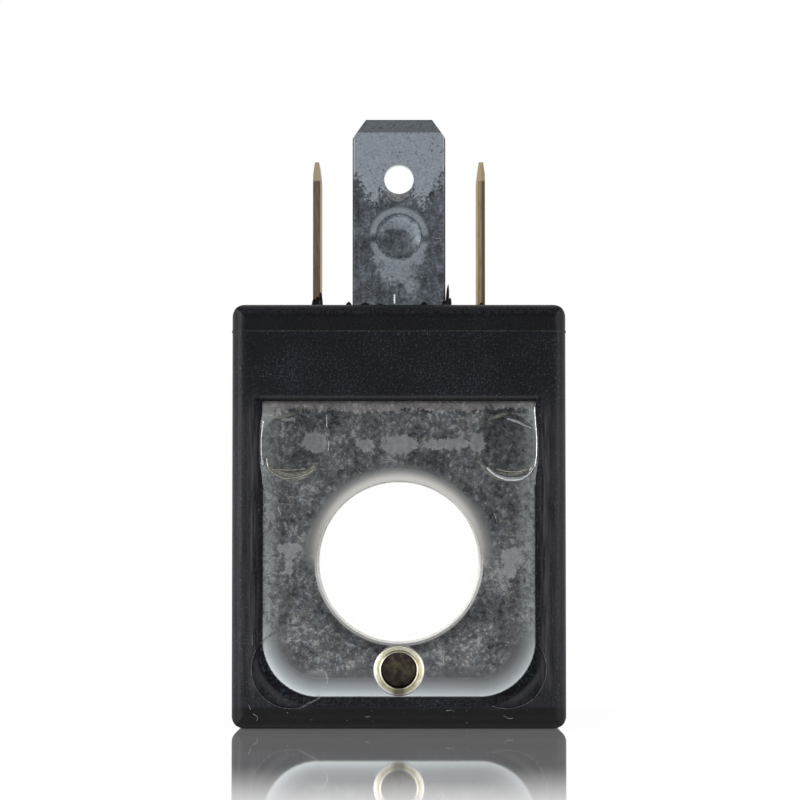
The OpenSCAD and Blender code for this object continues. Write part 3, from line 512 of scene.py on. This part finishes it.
# painted shade deeper in the hole, in oily purple-brown and olive tones
deepShade = addNode(tree, "MapRange", {"range": (-13.5, -12.3), "Value": axes["Y"]})
holeShadeTones = addNode(tree, "TexNoise", {"Scale": 1 / 0.35, "Detail": 3.0, "Vector": inMm})
holeShadeTones = addNode(tree, "ValToRGB", {"stops": strawLook["holeShadeTones"], "Fac": holeShadeTones})
for share, colour in ((rimHighlight, strawLook["rim"]), (bottomShade, strawLook["bottomShade"]), (deepShade, holeShadeTones)):
    tone = addNode(tree, "Mix", {"data_type": "RGBA", "Factor": share, "A": tone, "B": colour})
setNode(tree, shader, {"Base Color": tone, "Metallic": 1.0, "Roughness": 0.36})

# bare brass strip, rolled and sheared: dull yellow faces with fine rolling lines, brown streaked edges
brassLook = {
    "middle": 5.7,  # of a blade, from the bore axis
    "faceAt": (0.238, 0.246),  # from the middle of a blade to its rolled faces
    "tipZ": (26.3, 26.4, 0, 0.8),
    "left": [(0.3, "#82705f"), (0.55, "#a08b76"), (0.8, "#b6a591")],
    "right": [(0.3, "#c4aa82"), (0.55, "#e6cb9e"), (0.8, "#f4dfb8")],
    "outerHalf": (5.66, 5.76),  # of the right blade's edge
    "worn": "#94816a",  # its colour
    "face": [(0.35, "#bd9d63"), (0.5, "#cbab70"), (0.65, "#d9bc84")],
    "tarnish": [(0.36, "#a8977f"), (0.5, "#e4dccf"), (0.66, "#ffffff")],
    "stain": "#9d8a70",  # the left blade is browner
    "tip": "#a39379",  # painted reflection: the bevelled tips are pale and less metallic, for the brighter things they face
}
brass, tree, shader, inMm = startMaterial("bareBrassStripRolled")
axes = addNode(tree, "SeparateXYZ", {0: inMm}).outputs
upright = addNode(tree, "Mapping", {"Scale": (1 / 0.1, 1 / 0.3, 1 / 1.2), "Vector": inMm})
streak = addNode(tree, "TexNoise", {"Scale": 1.0, "Detail": 3.0, "Vector": upright})
along = addNode(tree, "Mapping", {"Scale": (1.0, 1 / 0.06, 1 / 4.0), "Vector": inMm})
lines = addNode(tree, "TexNoise", {"Scale": 1.0, "Detail": 2.0, "Vector": along})
cloud = addNode(tree, "TexNoise", {"Scale": 1 / 2.4, "Detail": 5.0, "Roughness": 0.62, "Vector": inMm})
tones = {}
for name, noise in (("left", streak), ("right", streak), ("face", lines), ("tarnish", cloud)):
    tones[name] = addNode(tree, "ValToRGB", {"stops": brassLook[name], "Fac": noise})
onRight = addNode(tree, "Math GREATER_THAN", {0: axes["X"], 1: 0.0})
outerHalf = addNode(tree, "MapRange", {"range": brassLook["outerHalf"], "Value": axes["X"]})
rolled = addNode(tree, "VectorMath MULTIPLY", {0: tones["face"], 1: tones["tarnish"]})
stained = addNode(tree, "MapRange", {"range": (0, 1, 0.4, 0.0), "Value": onRight})
rolled = addNode(tree, "Mix", {"data_type": "RGBA", "Factor": stained, "A": rolled, "B": brassLook["stain"]})
face = addNode(tree, "Math ABSOLUTE", {0: axes["X"]})
face = gapTo(tree, face, brassLook["middle"])
face = addNode(tree, "MapRange", {"range": brassLook["faceAt"], "Value": face})
# painted reflection on the bevelled tips: a pale tone, and less metallic
tip = addNode(tree, "MapRange", {"range": brassLook["tipZ"], "Value": axes["Z"]})
tone = tones["left"]
layers = ((onRight, tones["right"]), (outerHalf, brassLook["worn"]), (face, rolled), (tip, brassLook["tip"]))
for share, colour in layers:
    tone = addNode(tree, "Mix", {"data_type": "RGBA", "Factor": share, "A": tone, "B": colour})
height = addNode(tree, "Mix", {"Factor": face, "A": streak, "B": lines})
bump = addNode(tree, "Bump", {"Strength": 0.2, "Distance": 0.00001, "Height": height})
matt = addNode(tree, "MapRange", {"range": (0, 1, 0.4, 0.5), "Value": face})
bare = addNode(tree, "MapRange", {"range": (0, 0.8, 1.0, 0.25), "Value": tip})
setNode(tree, shader, {"Base Color": tone, "Normal": bump, "Roughness": matt, "Metallic": bare})

# the rest differ only in three tones, grain in mm, metallic, roughness and bump in mm
finishes = {
    "naturalNylonMoulded": ("#d4d2ca", "#dedcd5", "#e6e5df", 0.5, 0.0, 0.1, 0.0005),  # cream, faintly waxy
    "enamelledCopperWound": ("#8a4a26", "#b5653a", "#cf8350", 0.3, 1.0, 0.3, 0.005),  # orange-brown lacquer
    "polyesterFilmWrapped": ("#a8780c", "#c6921a", "#d9aa38", 1.2, 0.0, 0.25, 0.005),  # glassy amber
    "blackNylonMoulded": ("#141517", "#1d1e21", "#27282b", 0.2, 0.0, 0.55, 0.01),  # plain dull black
    "zincPlatedSteelHeaded": ("#85888b", "#a3a6a9", "#bfc2c4", 0.3, 1.0, 0.35, 0.01),  # dull grey
    "freeCuttingBrassTurned": ("#a98845", "#c6a55e", "#e0c27e", 0.15, 1.0, 0.25, 0.005),  # bright yellow
    "siliconeSleeveExtruded": ("#b6ab92", "#c8bea7", "#d6cdb9", 0.6, 0.0, 0.5, 0.005),  # pale, rubbery
    "cottonLint": ("#4c4c4f", "#6a6a6c", "#8c8c8e", 0.3, 0.0, 0.7, 0.005),  # pale, matt dust and fibres
    "zincScratched": ("#6e7276", "#94989c", "#bcc0c3", 0.2, 1.0, 0.3, 0.005),  # bright new metal
    "zincDentLine": ("#8a8a80", "#b2b2a6", "#d6d6cc", 0.2, 1.0, 0.35, 0.005),  # pale, faintly yellow: painted glints on the dent lips
    "zincBurnished": ("#454641", "#5d5d57", "#7a7a72", 0.16, 0.3, 0.5, 0.02),  # steel pushed up by the pins
    "whitenedNylonBurr": ("#26262a", "#424246", "#6a6a6e", 0.2, 0.0, 0.5, 0.005),  # black, white where bent
    "tinSolderCast": ("#a9acb0", "#c3c6ca", "#dcdfe2", 0.25, 1.0, 0.2, 0.01),  # silvery, wet: the solder, bright scratches and painted glints
}
made = {}
for name, (dark, middle, light, grainSize, metallic, roughness, bumpDepth) in finishes.items():
    made[name], tree, shader, inMm = startMaterial(name)
    grain = addNode(tree, "TexNoise", {"Scale": 1 / grainSize, "Detail": 3.0, "Vector": inMm})
    tone = addNode(tree, "ValToRGB", {"stops": [(0.3, dark), (0.5, middle), (0.7, light)], "Fac": grain})
    bump = addNode(tree, "Bump", {"Strength": 0.4, "Distance": bumpDepth * mm, "Height": grain})
    coat = 1.0 if name == "naturalNylonMoulded" else 0.0  # its waxy skin
    setNode(tree, shader, {"Base Color": tone, "Normal": bump, "Metallic": metallic, "Roughness": roughness,
                           "Coat Weight": coat})

wearing = {
    "housing": nylon, "yoke": zinc, "locating_bush": straw, "earth_terminal": blueZinc,
    "line_terminal_left": brass, "line_terminal_right": brass, "bobbin": made["naturalNylonMoulded"],
    "winding": made["enamelledCopperWound"], "start_lead": made["enamelledCopperWound"],
    "finish_lead": made["enamelledCopperWound"], "winding_tape": made["polyesterFilmWrapped"],
    "terminal_carrier": made["blackNylonMoulded"], "earth_rivet": made["zincPlatedSteelHeaded"],
    "connector_insert": made["freeCuttingBrassTurned"], "start_lead_sleeve": made["siliconeSleeveExtruded"],
    "finish_lead_sleeve": made["siliconeSleeveExtruded"], "start_solder_joint": made["tinSolderCast"],
    "finish_solder_joint": made["tinSolderCast"],
}
for name, material in wearing.items():
    nodes[name].material_slots[0].material = material
print("materials on", len(wearing), "nodes")


# pieces

def addPiece(name, mesh, material, slot, *replaced):
    piece = bpy.data.objects.new(name, mesh)
    if material:
        mesh.materials.append(material)
    bpy.context.collection.objects.link(piece)
    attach(piece, "root")
    if replaced:
        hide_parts(*replaced)


def closeMesh(name, shape, smoothAngle):
    bmesh.ops.recalc_face_normals(shape, faces=shape.faces[:])
    for face in shape.faces:
        face.smooth = True
    mesh = bpy.data.meshes.new(name)
    shape.to_mesh(mesh)
    shape.free()
    mesh.set_sharp_from_angle(angle=math.radians(smoothAngle))
    return mesh


def lathe(name, profile, centre, axis, segments):
    shape = bmesh.new()
    rings = []
    for radius, along in profile:
        ring = []
        for step in range(segments if radius > 0 else 1):
            turn = 2 * math.pi * step / segments
            across, up = radius * math.cos(turn), radius * math.sin(turn)
            spot = (across, along, up) if axis == "y" else (across, up, along)
            ring.append(shape.verts.new([(c + s) * mm for c, s in zip(centre, spot)]))
        rings.append(ring)
    for a, b in zip(rings, rings[1:]):
        for step in range(segments):
            corners = [a[step % len(a)], a[(step + 1) % len(a)], b[(step + 1) % len(b)], b[step % len(b)]]
            shape.faces.new(list(dict.fromkeys(corners)))
    return closeMesh(name, shape, 38)


def startTree(name, sizes):
    tree = bpy.data.node_groups.new(name, "GeometryNodeTree")
    for label in sizes:
        tree.interface.new_socket(label, in_out="INPUT", socket_type="NodeSocketFloat")
    tree.interface.new_socket("Geometry", in_out="OUTPUT", socket_type="NodeSocketGeometry")
    return tree, addNode(tree, "NodeGroupInput").outputs


def growPiece(name, tree, sizes, shape, material, slot):
    whole = addNode(tree, "GeometryNodeRealizeInstances", {"Geometry": shape})
    dressed = addNode(tree, "GeometryNodeSetMaterial", {"Geometry": whole, "Material": material})
    addNode(tree, "NodeGroupOutput", {"Geometry": dressed})
    carrier = bpy.data.objects.new(name + "Carrier", bpy.data.meshes.new(name + "Carrier"))
    bpy.context.collection.objects.link(carrier)
    modifier = carrier.modifiers.new(name, "NODES")
    modifier.node_group = tree
    for item in tree.interface.items_tree:
        if item.in_out == "INPUT":
            modifier[item.identifier] = sizes[item.name]
    grown = carrier.evaluated_get(bpy.context.evaluated_depsgraph_get())
    mesh = bpy.data.meshes.new_from_object(grown)
    mesh.name = name
    bpy.data.objects.remove(carrier)
    addPiece(name, mesh, None, slot)


# the bush: turned rings on the face of its head, a chamfered blind hole
bush = {
    "centre": (0, 0, -7.14),
    "profile": [  # from the axis and along it
        (0, -12.06), (1.1, -12.12), (1.175, -12.25), (1.175, -13.9), (1.19, -13.94), (1.215, -13.95),
        (1.25, -13.93), (1.3, -13.875), (1.345, -13.862), (1.39, -13.88), (1.43, -13.865), (1.48, -13.882),
        (1.52, -13.865), (1.57, -13.88), (1.61, -13.862), (1.65, -13.84), (1.68, -13.79), (1.7, -13.72),
        (1.7, -13.655), (1.45, -13.655), (1.45, -11.66), (0, -11.66)],
    "segments": 96,
}
bushMesh = lathe("locatingBush", bush["profile"], bush["centre"], "y", bush["segments"])
addPiece("locatingBush", bushMesh, straw, "bush_steel", "locating_bush")

# the screw insert: a turned sleeve with a chamfered mouth and an anchoring groove, its thread a swept ridge
insert = {
    "centre": (0, -1, 0),
    "profile": [
        (1.47, 12.66), (1.47, 16.8), (1.72, 17.04), (2.02, 17.045), (2.09, 16.98), (2.09, 16.42),
        (1.8, 16.38), (1.8, 15.62), (2.09, 15.58), (2.09, 12.72), (2.03, 12.66), (1.47, 12.66)],
    "segments": 72,
    "thread": {"Turns": 7.6, "Radius": 1.49 * mm, "Height": 3.8 * mm, "Ridge": 0.23 * mm, "Low": 12.95 * mm,
               "Back": -1.0 * mm},
}
insertMesh = lathe("connectorInsert", insert["profile"], insert["centre"], "z", insert["segments"])
addPiece("connectorInsert", insertMesh, made["freeCuttingBrassTurned"], "insert_brass", "connector_insert")
tree, given = startTree("screwThread", insert["thread"])
coil = addNode(tree, "GeometryNodeCurveSpiral", {
    "Resolution": 40, "Rotations": given["Turns"], "Start Radius": given["Radius"],
    "End Radius": given["Radius"], "Height": given["Height"]})
ridge = addNode(tree, "GeometryNodeCurvePrimitiveCircle", {"Resolution": 6, "Radius": given["Ridge"]})
thread = addNode(tree, "GeometryNodeCurveToMesh", {"Fill Caps": True, "Curve": coil, "Profile Curve": ridge})
place = addNode(tree, "CombineXYZ", {"Y": given["Back"], "Z": given["Low"]})
thread = addNode(tree, "GeometryNodeTransform", {"Geometry": thread, "Translation": place})
growPiece("insertThread", tree, insert["thread"], thread, made["freeCuttingBrassTurned"], "insert_brass")
print("bush and screw insert made")


# joins rows of points to a closed strip
def sweepStrip(shape, rows):
    loops = [[shape.verts.new([c * mm for c in spot]) for spot in row] for row in rows]
    for a, b in zip(loops, loops[1:]):
        for i in range(len(a)):
            j = (i + 1) % len(a)
            shape.faces.new([a[i], a[j], b[j], b[i]])
    shape.faces.new(loops[0])
    shape.faces.new(loops[-1])


# the support pins push up a low lip of steel under each dent, and leave a slope along its top edge
pinLip = {
    "centres": [(-7.1, 7.7), (7.1, 7.7)],
    "radius": 2.1,
    "face": 13.65,  # outer face of a leg
    "steps": 40,
    # each ridge: degrees from end to end, how it swells in the middle, and its section
    # a point of the section: out and up as the ridge swells, then out and up everywhere
    "ridges": [
        ((-150, -34), (0.08, 0.92, 0.7), [
            (-0.34, 0, 0, -0.06), (-0.14, 0.068, -0.06, 0), (-0.14, 0.085, 0, 0), (-0.14, 0.0782, 0.08, 0),
            (0.14, 0.0357, 0, 0), (0.28, 0, 0, 0.004), (0.28, 0, 0, -0.1), (-0.34, 0, 0, -0.16)]),
        ((84, 128), (0.06, 0.16, 1.0), [
            (0, 0, 0.05, 0.002), (-0.4, 0, 0, -0.05), (-1, 0, 0, -0.2), (0, 0, 0.05, -0.2)])],
}
shape = bmesh.new()
for end in (-1, 1):
    for x, z in pinLip["centres"]:
        for (first, last), (least, gain, power), section in pinLip["ridges"]:
            rows = []
            for step in range(pinLip["steps"] + 1):
                share = step / pinLip["steps"]
                turn = math.radians(first + share * (last - first))
                swell = least + gain * math.sin(math.pi * share) ** power
                row = []
                for swellOut, swellUp, fixedOut, fixedUp in section:
                    r = pinLip["radius"] + swellOut * swell + fixedOut
                    y = end * (pinLip["face"] + swellUp * swell + fixedUp)
                    row.append((x + r * math.cos(turn), y, z + r * math.sin(turn)))
                rows.append(row)
            sweepStrip(shape, rows)
addPiece("pinLips", closeMesh("pinLips", shape, 60), made["zincBurnished"], "yoke_steel")

# thin flash that the mould left: spikes and lumps at the feet of the blades, a ragged edge over each leg
flash = {
    "spikes": [  # x, y, foot width, depth, height above the top face, lean to the right
        (3.22, -8.42, 0.3, 0.25, 1.75, 0.12), (3.42, -8.4, 0.34, 0.3, 0.85, 0.05),
        (3.05, -8.6, 0.5, 0.2, 0.62, 0), (-3.4, -8.4, 0.55, 0.3, 0.57, 0), (-2.4, -8.58, 0.9, 0.2, 0.5, 0.1),
        (-1.2, -8.58, 0.6, 0.2, 0.45, -0.1), (1.7, -8.58, 0.8, 0.2, 0.56, 0),
        (-5.86, -4.2, 0.5, 0.5, 1.12, 0), (-5.66, -4.2, 0.5, 0.5, 1.26, 0),
        (-5.46, -4.15, 0.5, 0.5, 1.55, 0.04), (5.7, -4.15, 0.62, 0.4, 0.85, 0)],
    "levels": [(-0.1, 1.0), (0.3, 0.92), (0.6, 0.78), (0.85, 0.5), (1.0, 0.12)],  # share of height, of width
    "corners": 8,
    "rough": (0.8, 1.15),
    "topZ": 17.05,
    "seed": 4,
}
dice = random.Random(flash["seed"])
shape = bmesh.new()
for x, y, wide, deep, high, lean in flash["spikes"]:
    rows = []
    for level, size in flash["levels"]:
        row = []
        for corner in range(flash["corners"]):
            turn = 2 * math.pi * (corner + 0.5) / flash["corners"]
            reach = 0.5 * size * dice.uniform(*flash["rough"])
            cornerX = x + lean * level + wide * reach * math.cos(turn)
            row.append((cornerX, y + deep * reach * math.sin(turn), flash["topZ"] + high * level))
        rows.append(row)
    sweepStrip(shape, rows)
addPiece("bladeFlash", closeMesh("bladeFlash", shape, 35), nylon, "housing_plastic")

overLeg = {"halfWidth": 9.0, "topZ": 10.8, "steps": 180, "reach": 0.06, "steady": 0.75, "seed": 11,
           "droop": (0.05, 0.35, 1.6), "bendRadius": 2.5, "bendZ": 9.75, "face": 13.65}
least, usual, spread = overLeg["droop"]
dice = random.Random(overLeg["seed"])
shape = bmesh.new()
for end in (-1, 1):
    rows = []
    drift = 0.0
    for step in range(overLeg["steps"] + 1):
        x = overLeg["halfWidth"] * (2 * step / overLeg["steps"] - 1)
        drift = overLeg["steady"] * drift + (1 - overLeg["steady"]) * dice.uniform(-1, 1)
        low = overLeg["topZ"] - overLeg["reach"] * max(least, usual + spread * drift)
        high = overLeg["topZ"] + 0.05
        rise = low - overLeg["bendZ"]
        steel = overLeg["face"] - overLeg["bendRadius"] + math.sqrt(overLeg["bendRadius"] ** 2 - rise ** 2)
        front = overLeg["face"] + 0.1
        rows.append([(x, end * y, z) for y, z in (
            (steel - 0.03, low), (steel + 0.02, low), (front, overLeg["topZ"] - 0.005), (front, high),
            (steel - 0.1, high))])
    sweepStrip(shape, rows)
addPiece("windowFlash", closeMesh("windowFlash", shape, 30), nylon, "housing_plastic")
print("pin lips and mould flash made")


# shakes a path and sweeps it with a thin round wire
def sweepWire(tree, given, path, grain, plane, thickness):
    noise = addNode(tree, "TexNoise", {**grain, "Vector": addNode(tree, "GeometryNodeInputPosition")})
    shake = addNode(tree, "VectorMath SUBTRACT", {0: noise.outputs["Color"], 1: (0.5, 0.5, 0.5)})
    shake = addNode(tree, "VectorMath MULTIPLY", {0: shake, 1: plane})
    shake = addNode(tree, "VectorMath SCALE", {0: shake, "Scale": given["Jitter"]})
    path = addNode(tree, "GeometryNodeSetPosition", {"Geometry": path, "Offset": shake})
    thick = addNode(tree, "MapRange", {"range": thickness, "Value": noise})
    path = addNode(tree, "GeometryNodeSetCurveRadius", {"Curve": path, "Radius": thick})
    wire = addNode(tree, "GeometryNodeCurvePrimitiveCircle", {"Resolution": 6, "Radius": given["Wire"]})
    return addNode(tree, "GeometryNodeCurveToMesh", {"Fill Caps": True, "Curve": path, "Profile Curve": wire})


# pale burrs round the marks of the support pins: jittered arcs of wire
markBurr = {
    "arcs": [(-7.1, 152, 158, 0), (7.1, -112, 140, 1), (-7.1, 112, 30, 2)],  # x, start and sweep, seed
    "thickness": (0.42, 0.62, 0.1),  # noise where the wire is thinnest and full, and its least share
    "sizes": {"Mark Radius": 2.62 * mm, "Wire": 0.02 * mm, "Jitter": 0.06 * mm, "Height": -7.04 * mm,
              "Face": 14.0 * mm},
}
tree, given = startTree("markBurrs", markBurr["sizes"])
join = addNode(tree, "GeometryNodeJoinGeometry")
for x, start, sweep, seed in markBurr["arcs"]:
    for end in (-1, 1):
        arc = addNode(tree, "GeometryNodeCurveArc", {
            "Resolution": 60, "Start Angle": math.radians(start), "Sweep Angle": math.radians(sweep),
            "Radius": given["Mark Radius"]})
        grain = {"noise_dimensions": "4D", "W": 3.7 * seed, "Scale": 2200.0}
        tube = sweepWire(tree, given, arc, grain, (1, 1, 1), markBurr["thickness"])
        side = addNode(tree, "Math MULTIPLY", {0: given["Face"], 1: end})
        place = addNode(tree, "CombineXYZ", {"X": x * mm, "Y": side, "Z": given["Height"]})
        tube = addNode(tree, "GeometryNodeTransform", {
            "Rotation": (math.pi / 2, 0, 0), "Geometry": tube, "Translation": place})
        setNode(tree, join, {0: tube})
growPiece("markBurrs", tree, markBurr["sizes"], join, made["whitenedNylonBurr"], "housing_plastic")

# the punch raised a thin lip under the detent hole: its slope runs from proud at the hole to flush below
holeLip = {
    "hole": (0.0, 25.95, 1.0),  # x, z, radius
    "foot": (-0.05, 25.36, 0.91),
    "turn": (-171, -14),
    "face": -8.5,
    "back": 0.12,  # how deep it reaches into the blade
    "height": 0.11,
    "slope": 0.22,
    "steps": 48,
}
holeX, holeZ, holeRadius = holeLip["hole"]
footX, footZ, footRadius = holeLip["foot"]
first, last = holeLip["turn"]
shape = bmesh.new()
rows = []
for step in range(holeLip["steps"] + 1):
    turn = math.radians(first + (last - first) * step / holeLip["steps"])
    x = footX + footRadius * math.cos(turn)
    z = footZ + footRadius * math.sin(turn)
    away = math.hypot(x - holeX, z - holeZ)
    reach = max(away - holeRadius, 0.004)
    rise = min(holeLip["height"], holeLip["slope"] * reach)
    row = []
    for beyond, front in ((0.0, holeLip["back"]), (0.0, -rise), (reach, 0.0), (reach, holeLip["back"])):
        share = (holeRadius + beyond) / away
        row.append((holeX + share * (x - holeX), holeLip["face"] + front, holeZ + share * (z - holeZ)))
    rows.append(row)
sweepStrip(shape, rows)
addPiece("holeLip", closeMesh("holeLip", shape, 30), made["zincScratched"], "earth_steel")

# strokes drawn as polylines: scratches on the metal, painted glints on the flanks and the dent lips, and lint
# on the plastic, each a thin round wire
strokes = {  # y, radius of the wire, material, slot, then the lines as points in x and z
    "plateScratches": (-13.65, 0.03, "zincScratched", "yoke_steel", [
        [(-5.06, 8.5), (-4.76, 8.2), (-4.64, 7.81), (-4.7, 7.3)], [(-4.9, -7.2), (-4.7, -7.8), (-4.83, -8.3)],
        [(2.52, -5.48), (2.85, -6.1), (2.98, -6.8)], [(-1.26, 6.67), (-0.8, 6.63), (-0.42, 6.68)],
        [(-2.72, 6.05), (-2.5, 5.82)], [(-1.95, 5.83), (-1.7, 5.8)], [(-5.2, 6.18), (-4.9, 6.04)],
        [(-4.79, 9.7), (-4.77, 8.9)], [(6.3, 3.2), (6.5, 2.6)], [(-6.6, -2.9), (-6.2, -3.2)],
        [(4.6, -6.9), (5.0, -6.7)], [(-8.0, 3.6), (-7.8, 3.1)]]),
    # painted highlights: bright wires along the lips under the dents
    "dentCrescents": (-13.68, 0.17, "tinSolderCast", "yoke_steel", [
        [(5.85, 6.25), (6.28, 5.86), (7.0, 5.59), (7.66, 5.54), (8.26, 5.64), (8.59, 5.86), (8.81, 6.19)],
        [(6.3, 5.8), (7.0, 5.5), (7.66, 5.45), (8.2, 5.55)]]),
    "dentSlash": (-13.66, 0.1, "zincPlatedSteelHeaded", "yoke_steel", [
        [(7.16, 9.49), (7.82, 9.32), (8.73, 8.88)], [(7.3, 9.42), (7.82, 9.25), (8.5, 8.95)]]),
    "flankGlints": (-13.62, 0.085, "tinSolderCast", "yoke_steel", [
        [(-9.0, 9.3), (-9.12, 8.5), (-9.15, 7.7), (-9.12, 6.9), (-9.02, 6.4)],
        [(9.0, 10.2), (9.06, 9.3), (9.12, 8.5), (9.15, 7.7), (9.12, 6.9), (9.02, 6.3)]]),
    "dentLines": (-13.7, 0.05, "zincDentLine", "yoke_steel", [
        [(-8.75, 6.82), (-8.6, 6.14), (-8.1, 5.75), (-7.42, 5.5), (-6.58, 5.64), (-6.05, 5.83),
         (-5.52, 6.14)], [(-8.4, 6.12), (-7.26, 6.06), (-6.2, 6.14)],
        [(6.45, 6.14), (7.1, 5.97), (7.93, 5.97), (8.7, 6.19)]]),
    "bladeScratches": (-8.5, 0.06, "tinSolderCast", "earth_steel", [
        [(-2.55, 18.95), (-2.1, 18.55), (-1.75, 18.3), (-1.3, 18.35)], [(-0.3, 18.1), (-0.3, 17.5)],
        [(2.45, 21.95), (2.85, 21.9)], [(2.5, 21.7), (2.7, 21.68)]]),
    "lintFibres": (-14.0, 0.02, "cottonLint", "housing_plastic", [
        [(-6.55, -9.65), (-6.0, -9.3), (-5.6, -9.15), (-5.2, -8.93)],
        [(-9.6, -10.0), (-9.3, -10.2), (-9.35, -10.45)], [(-9.9, -9.4), (-9.75, -9.7)],
        [(3.1, -9.8), (3.5, -9.72)], [(6.9, -10.1), (7.2, -10.3), (7.5, -10.28)],
        [(-2.2, -10.2), (-1.9, -10.15)], [(-9.67, -4.8), (-9.66, -5.5)]]),
}
for name, (y, wireRadius, finish, slot, lines) in strokes.items():
    points = []
    pairs = []
    for line in lines:
        pairs += [(len(points) + i, len(points) + i + 1) for i in range(len(line) - 1)]
        points += [(x * mm, y * mm, z * mm) for x, z in line]
    lineMesh = bpy.data.meshes.new(name + "Lines")
    lineMesh.from_pydata(points, pairs, [])
    holder = bpy.data.objects.new(name + "Lines", lineMesh)
    bpy.context.collection.objects.link(holder)
    strokeSizes = {"Wire": wireRadius * mm, "Jitter": 0.05 * mm, "Spacing": 0.08 * mm}
    tree, given = startTree(name, strokeSizes)
    drawn = addNode(tree, "GeometryNodeObjectInfo", {"Object": holder}).outputs["Geometry"]
    path = addNode(tree, "GeometryNodeMeshToCurve", {"Mesh": drawn})
    path = addNode(tree, "GeometryNodeCurveSplineType", {"spline_type": "CATMULL_ROM", "Curve": path})
    path = addNode(tree, "GeometryNodeResampleCurve", {
        "mode": "LENGTH", "Curve": path, "Length": given["Spacing"]})
    tube = sweepWire(tree, given, path, {"Scale": 3000.0}, (1, 0, 1), (0.35, 0.6, 0.35))
    growPiece(name, tree, strokeSizes, tube, made[finish], slot)
    bpy.data.objects.remove(holder)

# dust on the lower edge of the front: specks scattered on a strip and sunk halfway into the plastic
dust = {"Width": 18.5 * mm, "Height": 1.3 * mm, "Low": -9.95 * mm, "Face": -14.0 * mm, "Density": 1.2e6,
        "Speck": 0.03 * mm}
tree, given = startTree("dustSpecks", dust)
strip = addNode(tree, "GeometryNodeMeshGrid", {
    "Vertices X": 2, "Vertices Y": 2, "Size X": given["Width"], "Size Y": given["Height"]})
place = addNode(tree, "CombineXYZ", {"Y": given["Face"], "Z": given["Low"]})
strip = addNode(tree, "GeometryNodeTransform", {
    "Rotation": (math.pi / 2, 0, 0), "Geometry": strip, "Translation": place})
spots = addNode(tree, "GeometryNodeDistributePointsOnFaces", {
    "Seed": 7, "Mesh": strip, "Density": given["Density"]})
speck = addNode(tree, "GeometryNodeMeshIcoSphere", {"Subdivisions": 1, "Radius": given["Speck"]})
size = addNode(tree, "FunctionNodeRandomValue", {"Seed": 3, "Min": 0.25, "Max": 1.0})
specks = addNode(tree, "GeometryNodeInstanceOnPoints", {"Points": spots, "Instance": speck, "Scale": size})
growPiece("dustSpecks", tree, dust, specks, made["cottonLint"], "housing_plastic")
print("pieces made")
